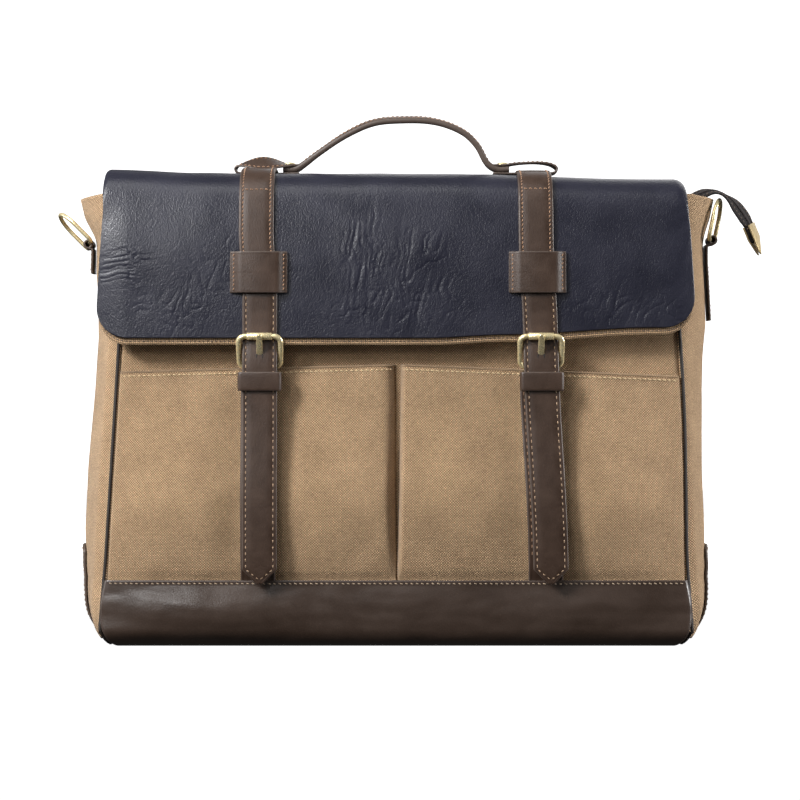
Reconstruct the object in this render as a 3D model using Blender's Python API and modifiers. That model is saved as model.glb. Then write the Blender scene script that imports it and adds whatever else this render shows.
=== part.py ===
"""A canvas and leather messenger bag, modelled at rest with its flap closed.

Metres, +Z up. The bag's front faces -Y and +X is to its right seen from the front.
The origin is on the underside of the base, in the middle of the bag.
Canvas panels make the body, a leather flap hangs over the front from the back edge, and two
buckled straps hold it. Fabric and leather are thin solids, 0.3 mm or more from each other.
"""

import math

import bmesh
import bpy
from mathutils import Matrix, Vector

# ---------------------------------------------------------------- driving dimensions
GAP = 0.0004                # clearance between pieces that touch on the real bag
CANVAS = 0.0014             # thickness of the body canvas
LEATHER = 0.0016            # thickness of the flap leather
STRAP = 0.0022              # thickness of the strap leather
BASE_LEATHER = 0.0022
LINING = 0.0008

MOUTH_Z = 0.300             # height of the bag's open top
BASE_BAND_Z = 0.047         # top of the leather band round the base
BASE_CORNER = 0.020         # radius of the base's lower edges
BASE_FLOOR_Z = 0.0022       # the lowest run of the piping
HALF_DEPTH_BASE = 0.0540
HALF_DEPTH_TOP = 0.0370
SEAM_X_TOP = 0.1910         # half width at the front seam, at the mouth
SEAM_X_BAND = 0.2050        # and at the top of the base band
SEAM_X_LOWEST = 0.1960      # and at the floor
GUSSET_BULGE = {"left": 0.0200, "right": 0.0220}
GUSSET_RISE = 0.014         # how far the gusset's top edge stands above the mouth
PATCH_ACROSS = (0.27, 0.73)     # the part of the gusset's width that its leather patch covers
PATCH_Z = (0.0085, 0.0695)
SEAM_INSET = 0.0030         # how far a piece's edge stops short of the seam beside it
POCKET_Z = (0.0490, 0.1955)
LINING_Z = (0.0090, 0.2840)

STRAP_X = 0.0985            # middle of each buckled strap
STRAP_WIDTH = 0.0245
FLAP_HALF_TOP = 0.2060
FLAP_HALF_HEM = 0.2115
FLAP_HEM_Z = 0.2185
FLAP_BACK_HALF = 0.186      # half width of the part sewn to the back panel
CREST_Z = 0.3352            # middle of the leather on the crest
KEEPER_Z = (0.2502, 0.2785)     # the wide keeper on each strap
SNAP_Z = 0.1600             # middle of the hidden snap

# hinge lines, all along X, as (y, z)
BACK_HINGE = (0.0415, 0.3130)
FOLD_HINGE = (-0.0462, 0.3235)
TAIL_HINGE = (-0.0600, 0.2478)
PIVOT_BAR = (-0.0576, 0.1965)
ROLLER_BAR = (-0.0652, 0.2180)
HANDLE_AXIS = (-0.0020, 0.3400)
HANDLE_HALF = 0.0100        # half width of the handle's strap
HANDLE_THICK = 0.0044
STRAP_RISE = 0.0030         # how far the crest's straps rise over the handle's loops
ZIP_HINGE_Y = 0.0322
ZIP_Z = 0.2965

BUCKLE_WIRE = 0.0018        # radius of the buckle's wire
BUCKLE_HALF = 0.0147        # from the buckle's middle to the middle of its side
BUCKLE_BORE = BUCKLE_WIRE + 0.0003      # radius of the holes that turn on the wire
ROLLER_RADIUS = 0.0026
D_RING_WIRE = 0.0015
D_RING_HALF = 0.0140
D_RING_REACH = 0.0300
D_RING_Z = {"left": 0.2860, "right": 0.2890}    # height of the ring's straight bar
D_RING_LEAN = {"left": 45.0, "right": 82.0}     # degrees above the horizontal, pointing out
D_TAB_LENGTH = {"left": 0.024, "right": 0.058}
TAB_HALF = 0.0095           # half width of the leather tabs that hold the D rings

SIDES = {"left": -1, "right": 1}


# ---------------------------------------------------------------- scene and materials
def clear_scene():
    for obj in list(bpy.data.objects):
        bpy.data.objects.remove(obj, do_unlink=True)


def new_collection(name):
    collection = bpy.data.collections.new(name)
    bpy.context.scene.collection.children.link(collection)
    return collection


LOOKS = {
    "canvas": ((0.30, 0.22, 0.13), 0.9, 0.0),
    "navy_leather": ((0.030, 0.036, 0.065), 0.45, 0.0),
    "brown_leather": ((0.075, 0.050, 0.038), 0.55, 0.0),
    "antique_brass": ((0.58, 0.47, 0.22), 0.35, 1.0),
    "lining_cloth": ((0.20, 0.16, 0.11), 0.85, 0.0),
    "foam_pad": ((0.14, 0.11, 0.08), 0.9, 0.0),
    "zip_tape": ((0.03, 0.028, 0.03), 0.8, 0.0),
    "board": ((0.25, 0.22, 0.18), 0.9, 0.0),
}


def material(name, look):
    colour, rough, metal = LOOKS[look]
    made = bpy.data.materials.new(name)
    made.use_nodes = True
    shader = made.node_tree.nodes["Principled BSDF"]
    shader.inputs["Base Color"].default_value = (*colour, 1.0)
    shader.inputs["Roughness"].default_value = rough
    shader.inputs["Metallic"].default_value = metal
    return made


def finish(obj, look, origin=(0, 0, 0)):
    """Give the object its material and put its origin on its joint's axis."""
    obj.data.materials.append(material(f"{obj.name}_{look}", look))
    if obj.type == "MESH":
        shift = Vector(origin) - obj.location
        obj.data.transform(Matrix.Translation(-shift))
        obj.location = Vector(origin)
    return obj


def object_from(name, data):
    obj = bpy.data.objects.new(name, data)
    BAG.objects.link(obj)
    return obj


def mesh_from(name, bm):
    mesh = bpy.data.meshes.new(name)
    bm.to_mesh(mesh)
    bm.free()
    mesh.shade_smooth()
    mesh.set_sharp_from_angle(angle=math.radians(35))
    return object_from(name, mesh)


# ---------------------------------------------------------------- modelling tools
def mix(a, b, share):
    return a + (b - a) * share


def smooth_path(points, count):
    """Evenly spaced points on a Catmull-Rom curve through the given ones."""
    points = [Vector(p) for p in points]
    ends = [2 * points[0] - points[1], *points, 2 * points[-1] - points[-2]]
    fine = []
    for k in range(len(points) - 1):
        a, b, c, d = ends[k : k + 4]
        for step in range(16):
            t = step / 16
            fine.append(
                0.5 * (2 * b + (c - a) * t + (2 * a - 5 * b + 4 * c - d) * t**2
                       + (3 * b - a - 3 * c + d) * t**3)
            )
    fine.append(points[-1])
    lengths = [0.0]
    for p, q in zip(fine, fine[1:]):
        lengths.append(lengths[-1] + (q - p).length)
    spaced = []
    k = 0
    for step in range(count):
        want = lengths[-1] * step / (count - 1)
        while k < len(fine) - 2 and lengths[k + 1] < want:
            k += 1
        share = (want - lengths[k]) / (lengths[k + 1] - lengths[k])
        spaced.append(fine[k].lerp(fine[k + 1], min(max(share, 0), 1)))
    return spaced


def sheet(name, surface, faces, thick, look, origin=(0, 0, 0)):
    """A thin closed solid whose middle is surface(u, v), u and v from 0 to 1."""
    bm = bmesh.new()
    bmesh.ops.create_grid(bm, x_segments=faces[0], y_segments=faces[1], size=0.5)
    for vert in bm.verts:
        vert.co = Vector(surface(vert.co.x + 0.5, vert.co.y + 0.5))
    obj = mesh_from(name, bm)
    solidify = obj.modifiers.new("Thickness", "SOLIDIFY")
    solidify.thickness = thick
    solidify.offset = 0
    solidify.use_even_offset = True
    return finish(obj, look, origin)


def offset_path(points, away):
    """A path of (y, z) points moved sideways, to the left of its direction of travel."""
    moved = []
    for k, p in enumerate(points):
        run = points[min(k + 1, len(points) - 1)] - points[max(k - 1, 0)]
        side = Vector((-run.y, run.x)).normalized()
        moved.append(p + side * away)
    return moved


def band(name, path, centre_x, half_widths, thick, look, origin=(0, 0, 0), across=2):
    """A strip across X that follows a path of (y, z) points; half_widths at its two ends."""
    last = len(path) - 1

    def surface(u, v):
        y, z = path[round(v * last)]
        half = mix(half_widths[0], half_widths[1], v)
        return centre_x + (u * 2 - 1) * half, y, z

    return sheet(name, surface, (across, last), thick, look, origin)


def tube(name, points, radius, look, closed=False, origin=(0, 0, 0)):
    """A wire or cord along a polyline of points."""
    curve = bpy.data.curves.new(name, "CURVE")
    curve.dimensions = "3D"
    curve.bevel_depth = radius
    curve.bevel_resolution = 1
    curve.use_fill_caps = not closed
    spline = curve.splines.new("POLY")
    spline.points.add(len(points) - 1)
    for point, place in zip(spline.points, points):
        point.co = (*(Vector(place) - Vector(origin)), 1.0)
    spline.use_cyclic_u = closed
    obj = object_from(name, curve)
    obj.location = origin
    return finish(obj, look)


def cube(size):
    """A bmesh box of the given size about the origin."""
    bm = bmesh.new()
    bmesh.ops.create_cube(bm, size=1)
    bmesh.ops.scale(bm, vec=size, verts=bm.verts)
    return bm


def block(name, low, high, bevel, look, origin=(0, 0, 0), turn=None):
    """A box with rounded edges; turn is a matrix about its own middle."""
    low, high = Vector(low), Vector(high)
    bm = cube(high - low)
    bmesh.ops.bevel(bm, geom=bm.edges, offset=bevel, segments=2, affect="EDGES", profile=0.5)
    if turn:
        bmesh.ops.transform(bm, matrix=turn, verts=bm.verts)
    bmesh.ops.translate(bm, vec=(low + high) / 2, verts=bm.verts)
    return finish(mesh_from(name, bm), look, origin)


def disc(name, centre, radius, height, axis, look):
    """A round plate with a bevelled rim, its axis along Y or Z."""
    bm = bmesh.new()
    bmesh.ops.create_cone(bm, cap_ends=True, segments=20, radius1=radius, radius2=radius,
                          depth=height)
    rims = [e for e in bm.edges if any(len(f.verts) > 4 for f in e.link_faces)]
    bmesh.ops.bevel(bm, geom=rims, offset=height * 0.25, segments=1, affect="EDGES", profile=0.5)
    if axis == "Y":
        bmesh.ops.rotate(bm, matrix=Matrix.Rotation(math.pi / 2, 3, "X"), verts=bm.verts)
    bmesh.ops.translate(bm, vec=Vector(centre), verts=bm.verts)
    return finish(mesh_from(name, bm), look)


def outline(name, loops, half, plane, middle):
    """A flat outline with holes, extruded both ways; returns a closed mesh object.

    plane "YZ" reads each loop as (y, z) and extrudes along X; "XZ" reads (x, z), along Y.
    """
    curve = bpy.data.curves.new(name + "_outline", "CURVE")
    curve.dimensions = "2D"
    curve.fill_mode = "BOTH"
    curve.extrude = half
    for loop in loops:
        spline = curve.splines.new("POLY")
        spline.points.add(len(loop) - 1)
        for point, place in zip(spline.points, loop):
            point.co = (place[0], place[1], 0.0, 1.0)
        spline.use_cyclic_u = True
    guide = bpy.data.objects.new(name + "_outline", curve)
    BAG.objects.link(guide)
    turn = (math.pi / 2, 0, math.pi / 2) if plane == "YZ" else (math.pi / 2, 0, 0)
    guide.rotation_euler = turn
    guide.location = (middle, 0, 0) if plane == "YZ" else (0, middle, 0)
    bpy.context.view_layer.update()
    evaluated = guide.evaluated_get(bpy.context.evaluated_depsgraph_get())
    mesh = bpy.data.meshes.new_from_object(evaluated)
    mesh.transform(guide.matrix_world)
    bm = bmesh.new()
    bm.from_mesh(mesh)
    bmesh.ops.remove_doubles(bm, verts=bm.verts, dist=1e-6)
    bmesh.ops.recalc_face_normals(bm, faces=bm.faces)
    bpy.data.objects.remove(guide, do_unlink=True)
    return mesh_from(name, bm)


def cut(obj, cutters):
    """Take each cutter box, given by its low and high corners, out of the object."""
    for k, (low, high) in enumerate(cutters):
        low, high = Vector(low), Vector(high)
        bm = cube(high - low)
        bmesh.ops.translate(bm, vec=(low + high) / 2, verts=bm.verts)
        mesh = bpy.data.meshes.new(f"{obj.name}_cutter{k}")
        bm.to_mesh(mesh)
        bm.free()
        cutter = bpy.data.objects.new(f"{obj.name}_cutter{k}", mesh)
        CUTTERS.objects.link(cutter)
        cutter.hide_render = True
        cutter.display_type = "WIRE"
        boolean = obj.modifiers.new(f"Cut{k}", "BOOLEAN")
        boolean.operation = "DIFFERENCE"
        boolean.solver = "EXACT"
        boolean.object = cutter
    return obj


def join_with(obj, other):
    """Add another closed shape to the object, and keep that shape only as a guide."""
    BAG.objects.unlink(other)
    CUTTERS.objects.link(other)
    other.hide_render = True
    other.display_type = "WIRE"
    union = obj.modifiers.new("Join", "BOOLEAN")
    union.operation = "UNION"
    union.solver = "EXACT"
    union.object = other


def arc(centre, radius, start, end, steps):
    """Points on an arc, angles in degrees from the first axis towards the second."""
    turned = []
    for k in range(steps + 1):
        angle = math.radians(mix(start, end, k / steps))
        turned.append((centre[0] + radius * math.cos(angle), centre[1] + radius * math.sin(angle)))
    return turned


# ---------------------------------------------------------------- the body's shape
def seam_x(z):
    """Half width of the bag at its front and back seams."""
    if z >= BASE_BAND_Z:
        return mix(SEAM_X_BAND, SEAM_X_TOP, (z - BASE_BAND_Z) / (MOUTH_Z - BASE_BAND_Z))
    swell = 0.0035 * math.sin(math.pi * min(z / BASE_BAND_Z, 1))
    low = max(0.0, (0.016 - z) / 0.016)
    return SEAM_X_BAND + swell - (SEAM_X_BAND - SEAM_X_LOWEST) * (1 - math.sqrt(1 - min(low, 1) ** 2))


def half_depth(z):
    return mix(HALF_DEPTH_BASE, HALF_DEPTH_TOP, z / MOUTH_Z)


def gusset_out(side, z, across):
    """How far the gusset's outer face stands from the middle plane; across is 0 at the front seam
    and 1 at the back seam."""
    top = max(0.0, (z - 0.270) / 0.042)
    low = min(1.0, max(0.0, 1 - (z - 0.006) / 0.050))
    swell = GUSSET_BULGE[side] * (1 + 0.25 * top**2 - low**1.6)
    return seam_x(min(z, MOUTH_Z)) + 0.0045 + swell * math.sin(math.pi * across) ** 0.8


def make_panels():
    lower, upper = BASE_BAND_Z + 0.0010, MOUTH_Z

    def panel(front):
        def surface(u, v):
            z = mix(lower, upper, v)
            x = (u * 2 - 1) * (seam_x(z) - 0.0032)
            y = half_depth(z) - CANVAS / 2
            return x, (-y if front else y), z
        return surface

    sheet("front_panel", panel(True), (10, 6), CANVAS, "canvas")
    sheet("back_panel", panel(False), (10, 6), CANVAS, "canvas")


def make_gussets():
    for side, sign in SIDES.items():
        def surface(u, v, side=side, sign=sign):
            z = mix(0.0075, MOUTH_Z + GUSSET_RISE * math.sin(math.pi * u), v)
            y = (u * 2 - 1) * (half_depth(min(z, MOUTH_Z)) - SEAM_INSET)
            return sign * (gusset_out(side, z, u) - CANVAS / 2), y, z

        sheet(f"gusset_{side}", surface, (12, 14), CANVAS, "canvas")

        def patch(u, v, side=side, sign=sign):
            across = mix(*PATCH_ACROSS, u)
            z = mix(*PATCH_Z, v)
            y = (across * 2 - 1) * (half_depth(z) - SEAM_INSET)
            return sign * (gusset_out(side, z, across) + GAP + LEATHER / 2 + 0.0004), y, z

        sheet(f"gusset_patch_{side}", patch, (10, 6), LEATHER, "brown_leather")


def make_base():
    outer = HALF_DEPTH_BASE + 0.0030
    inner = BASE_LEATHER / 2
    y_wall = outer - inner
    down = [(-y_wall, z) for z in (BASE_BAND_Z, 0.036)]
    corner = arc((-y_wall + BASE_CORNER, inner + BASE_CORNER), BASE_CORNER, 180, 270, 6)
    half_profile = down + corner
    profile = half_profile + [(0.0, inner)] + [(-y, z) for y, z in reversed(half_profile)]
    last = len(profile) - 1

    def surface(u, v):
        y, z = profile[round(v * last)]
        return (u * 2 - 1) * (seam_x(z - inner) - SEAM_INSET), y, z

    sheet("base_panel", surface, (10, last), BASE_LEATHER, "brown_leather")
    block("base_board", (-0.188, -0.034, 0.0040), (0.188, 0.034, 0.0070), 0.0008, "board")


def make_piping():
    radius = 0.0018
    for side, sign in SIDES.items():
        y_low = HALF_DEPTH_BASE + 0.0008
        turn = 0.018
        centre = (-y_low + turn, BASE_FLOOR_Z + turn)
        front = [(-half_depth(z) + 0.0002, z) for z in (0.299, 0.240, 0.180, 0.120, 0.075, 0.045)]
        path = front + arc(centre, turn, 180, 270, 6)
        path += [(0.0, BASE_FLOOR_Z)] + [(-y, z) for y, z in reversed(path)]
        points = [(sign * (seam_x(z) + 0.0002), y, z) for y, z in path]
        tube(f"piping_{side}", points, radius, "brown_leather")


def make_inside():
    """The lining, one bag of cloth, and the padded divider that stands in it."""
    levels = 7
    corner = 0.010

    def ring(z):
        tuck = 0.007 * max(0.0, 1 - z / 0.030) ** 2
        x = seam_x(z) - 0.0045 - tuck
        y = half_depth(z) - 0.0036 - tuck
        points = []
        for cx, cy, start in ((1, 1, 0), (-1, 1, 90), (-1, -1, 180), (1, -1, 270)):
            points += arc((cx * (x - corner), cy * (y - corner)), corner, start, start + 90, 3)
        return [(px, py, z) for px, py in points]

    bm = bmesh.new()
    heights = [mix(*LINING_Z, k / levels) for k in range(levels + 1)]
    rows = [[bm.verts.new(p) for p in ring(z)] for z in heights]
    count = len(rows[0])
    for low, high in zip(rows, rows[1:]):
        for k in range(count):
            bm.faces.new((low[k], low[(k + 1) % count], high[(k + 1) % count], high[k]))
    bm.faces.new(reversed(rows[0]))
    obj = mesh_from("lining", bm)
    solidify = obj.modifiers.new("Thickness", "SOLIDIFY")
    solidify.thickness = LINING
    solidify.offset = 0
    finish(obj, "lining_cloth")
    block("laptop_divider", (-0.182, 0.0120, 0.0110), (0.182, 0.0190, 0.2480), 0.0025, "foam_pad")


def read_at(points, z):
    """The depth, at a height, of a path of (depth, height) points that climbs."""
    for low, high in zip(points, points[1:]):
        if z <= high.y:
            return mix(low.x, high.x, max(0.0, (z - low.y) / (high.y - low.y)))
    return points[-1].x


def pocket_out(z):
    """The outer face of a front pocket at its fullest column."""
    points = smooth_path(
        [(0.0536, 0.0485), (0.0562, 0.058), (0.0600, 0.100), (0.0560, 0.135), (0.0524, 0.160),
         (0.0500, 0.196)], 40)
    return read_at(points, z)


def make_pockets():
    for side, sign in SIDES.items():
        def surface(u, v, sign=sign):
            z = mix(*POCKET_Z, v)
            x = mix(0.0012, seam_x(z) - 0.0050, u)
            panel = half_depth(z) + GAP + CANVAS / 2
            full = pocket_out(z) - CANVAS / 2
            return sign * x, -mix(panel, full, math.sin(math.pi * u) ** 0.55), z

        sheet(f"front_pocket_{side}", surface, (14, 10), CANVAS, "canvas")


# ---------------------------------------------------------------- flap
def flap_path():
    """The middle of the flap leather from its hem, over the crest and down the back, as (y, z)."""
    return smooth_path(
        [(-0.0588, FLAP_HEM_Z), (-0.0577, 0.2475), (-0.0562, 0.280), (-0.0525, 0.306),
         FOLD_HINGE, (-0.0320, 0.3335), (-0.012, CREST_Z), (0.010, CREST_Z), (0.0280, 0.3318),
         (0.0385, 0.3230), BACK_HINGE, (0.0412, 0.295), (0.0428, 0.262)], 120)


def stretch(path, low, high):
    """The part of a path between two shares of its length."""
    last = len(path) - 1
    return path[round(low * last) : round(high * last) + 1]


def share_at(path, place):
    """Where on a path the point nearest to a place is, as a share of its length."""
    nearest = min(range(len(path)), key=lambda k: (path[k] - Vector(place)).length)
    return nearest / (len(path) - 1)


def thin_out(path, count):
    last = len(path) - 1
    return [path[round(k * last / (count - 1))] for k in range(count)]


def make_flap():
    path = flap_path()
    fold, back = share_at(path, FOLD_HINGE), share_at(path, BACK_HINGE)
    step = 1 / (len(path) - 1)
    front = stretch(path, 0, fold - 1.5 * step)
    crest = stretch(path, fold + 1.5 * step, back - 1.5 * step)
    rear = stretch(path, back + 1.5 * step, 1)
    near_top = mix(FLAP_HALF_HEM, FLAP_HALF_TOP, 0.8)
    fold_at, back_at = (0, *FOLD_HINGE), (0, *BACK_HINGE)
    under = -(LEATHER + LINING) / 2 - GAP
    over = (LEATHER + STRAP) / 2 + GAP

    band("flap_front", thin_out(front, 16), 0, (FLAP_HALF_HEM, near_top), LEATHER,
         "navy_leather", fold_at, 6)
    band("flap_crest", thin_out(crest, 14), 0, (near_top, FLAP_HALF_TOP), LEATHER,
         "navy_leather", back_at, 6)
    band("flap_back", thin_out(rear, 6), 0, (FLAP_BACK_HALF, FLAP_BACK_HALF), LEATHER,
         "navy_leather", across=6)
    hem = [Vector((-0.0589, FLAP_HEM_Z - 0.0045))] + thin_out(front, 14)
    band("flap_lining", offset_path(hem, under), 0, (FLAP_HALF_HEM - 0.001, near_top - 0.001),
         LINING, "lining_cloth", fold_at, 6)
    band("crest_lining", offset_path(thin_out(crest, 12), under), 0,
         (near_top - 0.001, FLAP_HALF_TOP - 0.001), LINING, "lining_cloth", back_at, 6)

    half = STRAP_WIDTH / 2
    strap_front = stretch(path, share_at(path, (-0.0570, 0.2640)), fold - 4 * step)
    strap_crest = stretch(path, fold + 4 * step, back - 6 * step)
    strap_rear = stretch(path, back + 6 * step, 1)

    def raised(points):
        """The strap on the crest rises over the handle's loop."""
        lifted = []
        for p, q in zip(points, offset_path(points, over)):
            beyond = max(0.0, abs(p.x - HANDLE_AXIS[0]) - HANDLE_HALF - 0.0010)
            fade = min(1.0, beyond / 0.012)
            lifted.append(q + Vector((0, STRAP_RISE * (0.5 + 0.5 * math.cos(math.pi * fade)))))
        return lifted

    for side, sign in SIDES.items():
        x = sign * STRAP_X
        band(f"strap_front_{side}", offset_path(thin_out(strap_front, 9), over), x, (half, half),
             STRAP, "brown_leather", fold_at)
        band(f"strap_crest_{side}", raised(thin_out(strap_crest, 14)), x, (half, half),
             STRAP, "brown_leather", back_at)
        band(f"strap_back_{side}", offset_path(thin_out(strap_rear, 4), over), x, (half, half),
             STRAP, "brown_leather")
        keeper_y = -0.0602 - STRAP
        block(f"wide_keeper_{side}", (x - 0.0200, keeper_y - 0.0012, KEEPER_Z[0]),
              (x + 0.0200, keeper_y + 0.0012, KEEPER_Z[1]), 0.0006, "brown_leather", fold_at)


# ---------------------------------------------------------------- strap assemblies
def tail_y(z):
    """The middle of the buckled strap's leather, which hangs over the pocket."""
    points = smooth_path(
        [(0.0655, 0.045), (0.0672, 0.075), (0.0670, 0.110), (0.0645, 0.145), (0.0632, 0.170),
         (0.0632, 0.198), (0.0616, 0.212), (0.0608, 0.222), (0.0602, 0.2465)], 60)
    return -read_at(points, z)


def make_anchor(side, x):
    heights = [mix(0.0500, 0.1850, k / 12) for k in range(13)]
    path = [Vector((-pocket_out(z) - GAP - STRAP / 2, z)) for z in heights]
    half = STRAP_WIDTH / 2
    band(f"anchor_strap_{side}", path, x, (half, half), STRAP, "brown_leather")
    disc(f"snap_socket_{side}", (x, -0.0569, SNAP_Z), 0.0065, 0.0014, "Y", "antique_brass")


def make_tail(side, x, hinge):
    half = STRAP_WIDTH / 2
    tip, shoulder, top = 0.0450, 0.0560, 0.2462
    heights = [tip, 0.0500, shoulder] + [mix(shoulder, top, k / 22) for k in range(1, 23)]
    last = len(heights) - 1

    def surface(u, v):
        z = heights[round(v * last)]
        width = half * min(1.0, mix(0.18, 1.0, (z - tip) / (shoulder - tip)))
        return x + (u * 2 - 1) * width, tail_y(z), z

    tail = sheet(f"tail_strap_{side}", surface, (2, last), STRAP, "brown_leather", hinge)
    cut(tail, [((x - 0.0027, -0.080, 0.1972), (x + 0.0027, -0.050, 0.2112))])


def make_buckle(side, x, hinge):
    """The wire frame: the pivot bar below, the roller bar above, and two sides."""
    low, high = Vector(PIVOT_BAR), Vector(ROLLER_BAR)
    up = (high - low).normalized()
    rise = (high - low).length
    corner = 0.0040
    loop = []
    for cx, cz, start in ((1, 1, 0), (-1, 1, 90), (-1, 0, 180), (1, 0, 270)):
        middle = (cx * (BUCKLE_HALF - corner), mix(corner, rise - corner, cz))
        loop += arc(middle, corner, start, start + 90, 3)
    points = [(x + a, low.x + up.x * b, low.y + up.y * b) for a, b in loop]
    tube(f"buckle_frame_{side}", points, BUCKLE_WIRE, "antique_brass", True, hinge)

    roller = outline(
        f"buckle_roller_{side}",
        [arc(ROLLER_BAR, ROLLER_RADIUS, 0, 345, 23), arc(ROLLER_BAR, BUCKLE_BORE, 0, 337.5, 15)],
        0.0088, "YZ", x)
    finish(roller, "antique_brass", (x, *ROLLER_BAR))

    reach = Vector((ROLLER_BAR[0] - ROLLER_RADIUS - 0.0026, ROLLER_BAR[1] + 0.0010)) - low
    lean = math.degrees(math.atan2(reach.y, reach.x))
    wall, thin = 0.0014, 0.0011
    shank = reach.length
    along = reach.normalized()
    across = Vector((-along.y, along.x))
    ring = arc(PIVOT_BAR, BUCKLE_BORE + wall, lean + 28, lean + 332, 14)
    tip = [low + along * shank - across * thin * 0.8, low + along * shank + across * thin * 0.8]
    neck = [low + along * 0.0052 - across * thin, low + along * 0.0052 + across * thin]
    prong = outline(
        f"buckle_prong_{side}",
        [[*ring, neck[0], tip[0], tip[1], neck[1]], arc(PIVOT_BAR, BUCKLE_BORE, 0, 337.5, 15)],
        0.0019, "YZ", x)
    finish(prong, "antique_brass", (x, *PIVOT_BAR))


def make_buckle_tab(side, x, hinge):
    """The short leather tab that folds round the pivot bar and carries the snap's other half."""
    eye, wall = 0.0022, 0.0017
    outer = eye + wall
    front = PIVOT_BAR[0] - outer
    ring = arc(PIVOT_BAR, outer, 180, -130, 16)
    bottom = 0.1490
    outside = [*ring, (front + wall, 0.1900), (front + wall, bottom), (front, bottom)]
    tab = outline(f"buckle_tab_{side}", [outside, arc(PIVOT_BAR, eye, 0, 337.5, 15)], 0.0098, "YZ", x)
    cut(tab, [((x - 0.0024, -0.070, 0.1915), (x + 0.0024, -0.045, 0.2050))])
    finish(tab, "brown_leather", hinge)
    stud_y = front + wall + GAP + 0.0008
    disc(f"snap_stud_{side}", (x, stud_y, SNAP_Z), 0.0058, 0.0014, "Y", "antique_brass")


def make_keeper_loop(side, x, hinge):
    low, high = 0.1795, 0.1915
    y_back = PIVOT_BAR[0] - 0.0022 + 0.0006
    y_front = tail_y(0.185) - STRAP / 2 - 0.0006
    wall = 0.0016
    half = 0.0132
    bm = cube(Vector((2 * (half + wall), y_back - y_front + 2 * wall, high - low)))
    upright = [e for e in bm.edges if abs(e.verts[0].co.z - e.verts[1].co.z) > 1e-4]
    bmesh.ops.bevel(bm, geom=upright, offset=0.0012, segments=2, affect="EDGES", profile=0.5)
    middle = Vector((x, (y_back + y_front) / 2, (low + high) / 2))
    bmesh.ops.translate(bm, vec=middle, verts=bm.verts)
    loop = mesh_from(f"keeper_loop_{side}", bm)
    cut(loop, [((x - half, y_front, low - 0.01), (x + half, y_back, high + 0.01))])
    finish(loop, "brown_leather", hinge)


def make_straps():
    for side, sign in SIDES.items():
        x = sign * STRAP_X
        hinge = (x, *TAIL_HINGE)
        make_anchor(side, x)
        make_tail(side, x, hinge)
        make_buckle(side, x, hinge)
        make_buckle_tab(side, x, hinge)
        make_keeper_loop(side, x, hinge)


# ---------------------------------------------------------------- handle
def make_handle():
    """The arched strap, and the loops at its ends that the bag's straps run through."""
    y, z = HANDLE_AXIS
    arch = smooth_path(
        [(-0.0660, 0.3470), (-0.0540, 0.3535), (-0.0360, 0.3655), (-0.0150, 0.3745), (0.0080, 0.3762),
         (0.0300, 0.3745), (0.0480, 0.3675), (0.0585, 0.3575), (0.0645, 0.3470)], 25)

    def surface(u, v):
        place = arch[round(v * 24)]
        return place.x, y + (u * 2 - 1) * HANDLE_HALF, place.y

    sheet("handle_arch", surface, (2, 24), HANDLE_THICK, "brown_leather", (0, y, z))

    crest_top = CREST_Z + LEATHER / 2 + GAP
    wall = 0.0018
    hole_low = crest_top + wall
    hole_high = CREST_Z + (LEATHER + STRAP) / 2 + GAP + STRAP_RISE + STRAP / 2 + 0.0005
    far, near, bevel = STRAP_X + 0.0185, 0.0700, 0.0020
    hole_far, hole_near = STRAP_X + 0.0160, STRAP_X - 0.0140
    top = hole_high + wall
    outside = [(near, crest_top), (far - bevel, crest_top), (far, crest_top + bevel),
               (far, hole_high), (far - bevel, top), (near, top)]
    inside = [(hole_near, hole_low), (hole_far, hole_low), (hole_far, hole_high),
              (hole_near, hole_high)]
    for side, sign in SIDES.items():
        loops = [[(sign * a, b) for a, b in points] for points in (outside, inside)]
        loop = outline(f"handle_loop_{side}", loops, 0.0098, "XZ", y)
        finish(loop, "brown_leather", (0, *BACK_HINGE))
        cap = (sign * 0.0770, y, top + GAP + 0.0008)
        disc(f"handle_rivet_{side}", cap, 0.0043, 0.0016, "Z", "antique_brass")


# ---------------------------------------------------------------- D rings
def d_ring_axis(side):
    """The middle of the ring's straight bar, on the gusset's outer face."""
    z = D_RING_Z[side]
    return gusset_out(side, z, 0.5) + 0.0046, z


def make_d_rings():
    for side, sign in SIDES.items():
        reach_x, bar_z = d_ring_axis(side)
        lean = math.radians(D_RING_LEAN[side])
        out = Vector((sign * math.cos(lean), 0, math.sin(lean)))
        corner = 0.0030
        flat = arc((corner, D_RING_HALF - corner), corner, 180, 90, 3)
        round_end = arc((D_RING_REACH - D_RING_HALF, 0), D_RING_HALF, 90, -90, 12)
        loop = [(a, -b) for a, b in reversed(flat)]
        points = round_end + loop + flat
        bar = Vector((sign * reach_x, 0, bar_z))
        placed = [bar + out * a + Vector((0, b, 0)) for a, b in points]
        tube(f"d_ring_{side}", placed, D_RING_WIRE, "antique_brass", True, bar)

        eye, wall = 0.0019, 0.0016
        centre = (sign * reach_x, bar_z)
        ring = arc(centre, eye + wall, 0, 345, 23)
        tab = outline(f"d_ring_tab_{side}", [ring, arc(centre, eye, 0, 337.5, 15)], TAB_HALF, "XZ", 0.0)
        heights = [mix(bar_z, bar_z - D_TAB_LENGTH[side], k / 5) for k in range(6)]
        inner = [(sign * (gusset_out(side, h, 0.5) + 0.0006), h) for h in heights]
        outer = [(a + sign * wall, h) for a, h in reversed(inner)]
        strip = outline(f"d_ring_strip_{side}", [inner + outer], TAB_HALF, "XZ", 0.0)
        join_with(tab, strip)
        finish(tab, "brown_leather")


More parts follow.
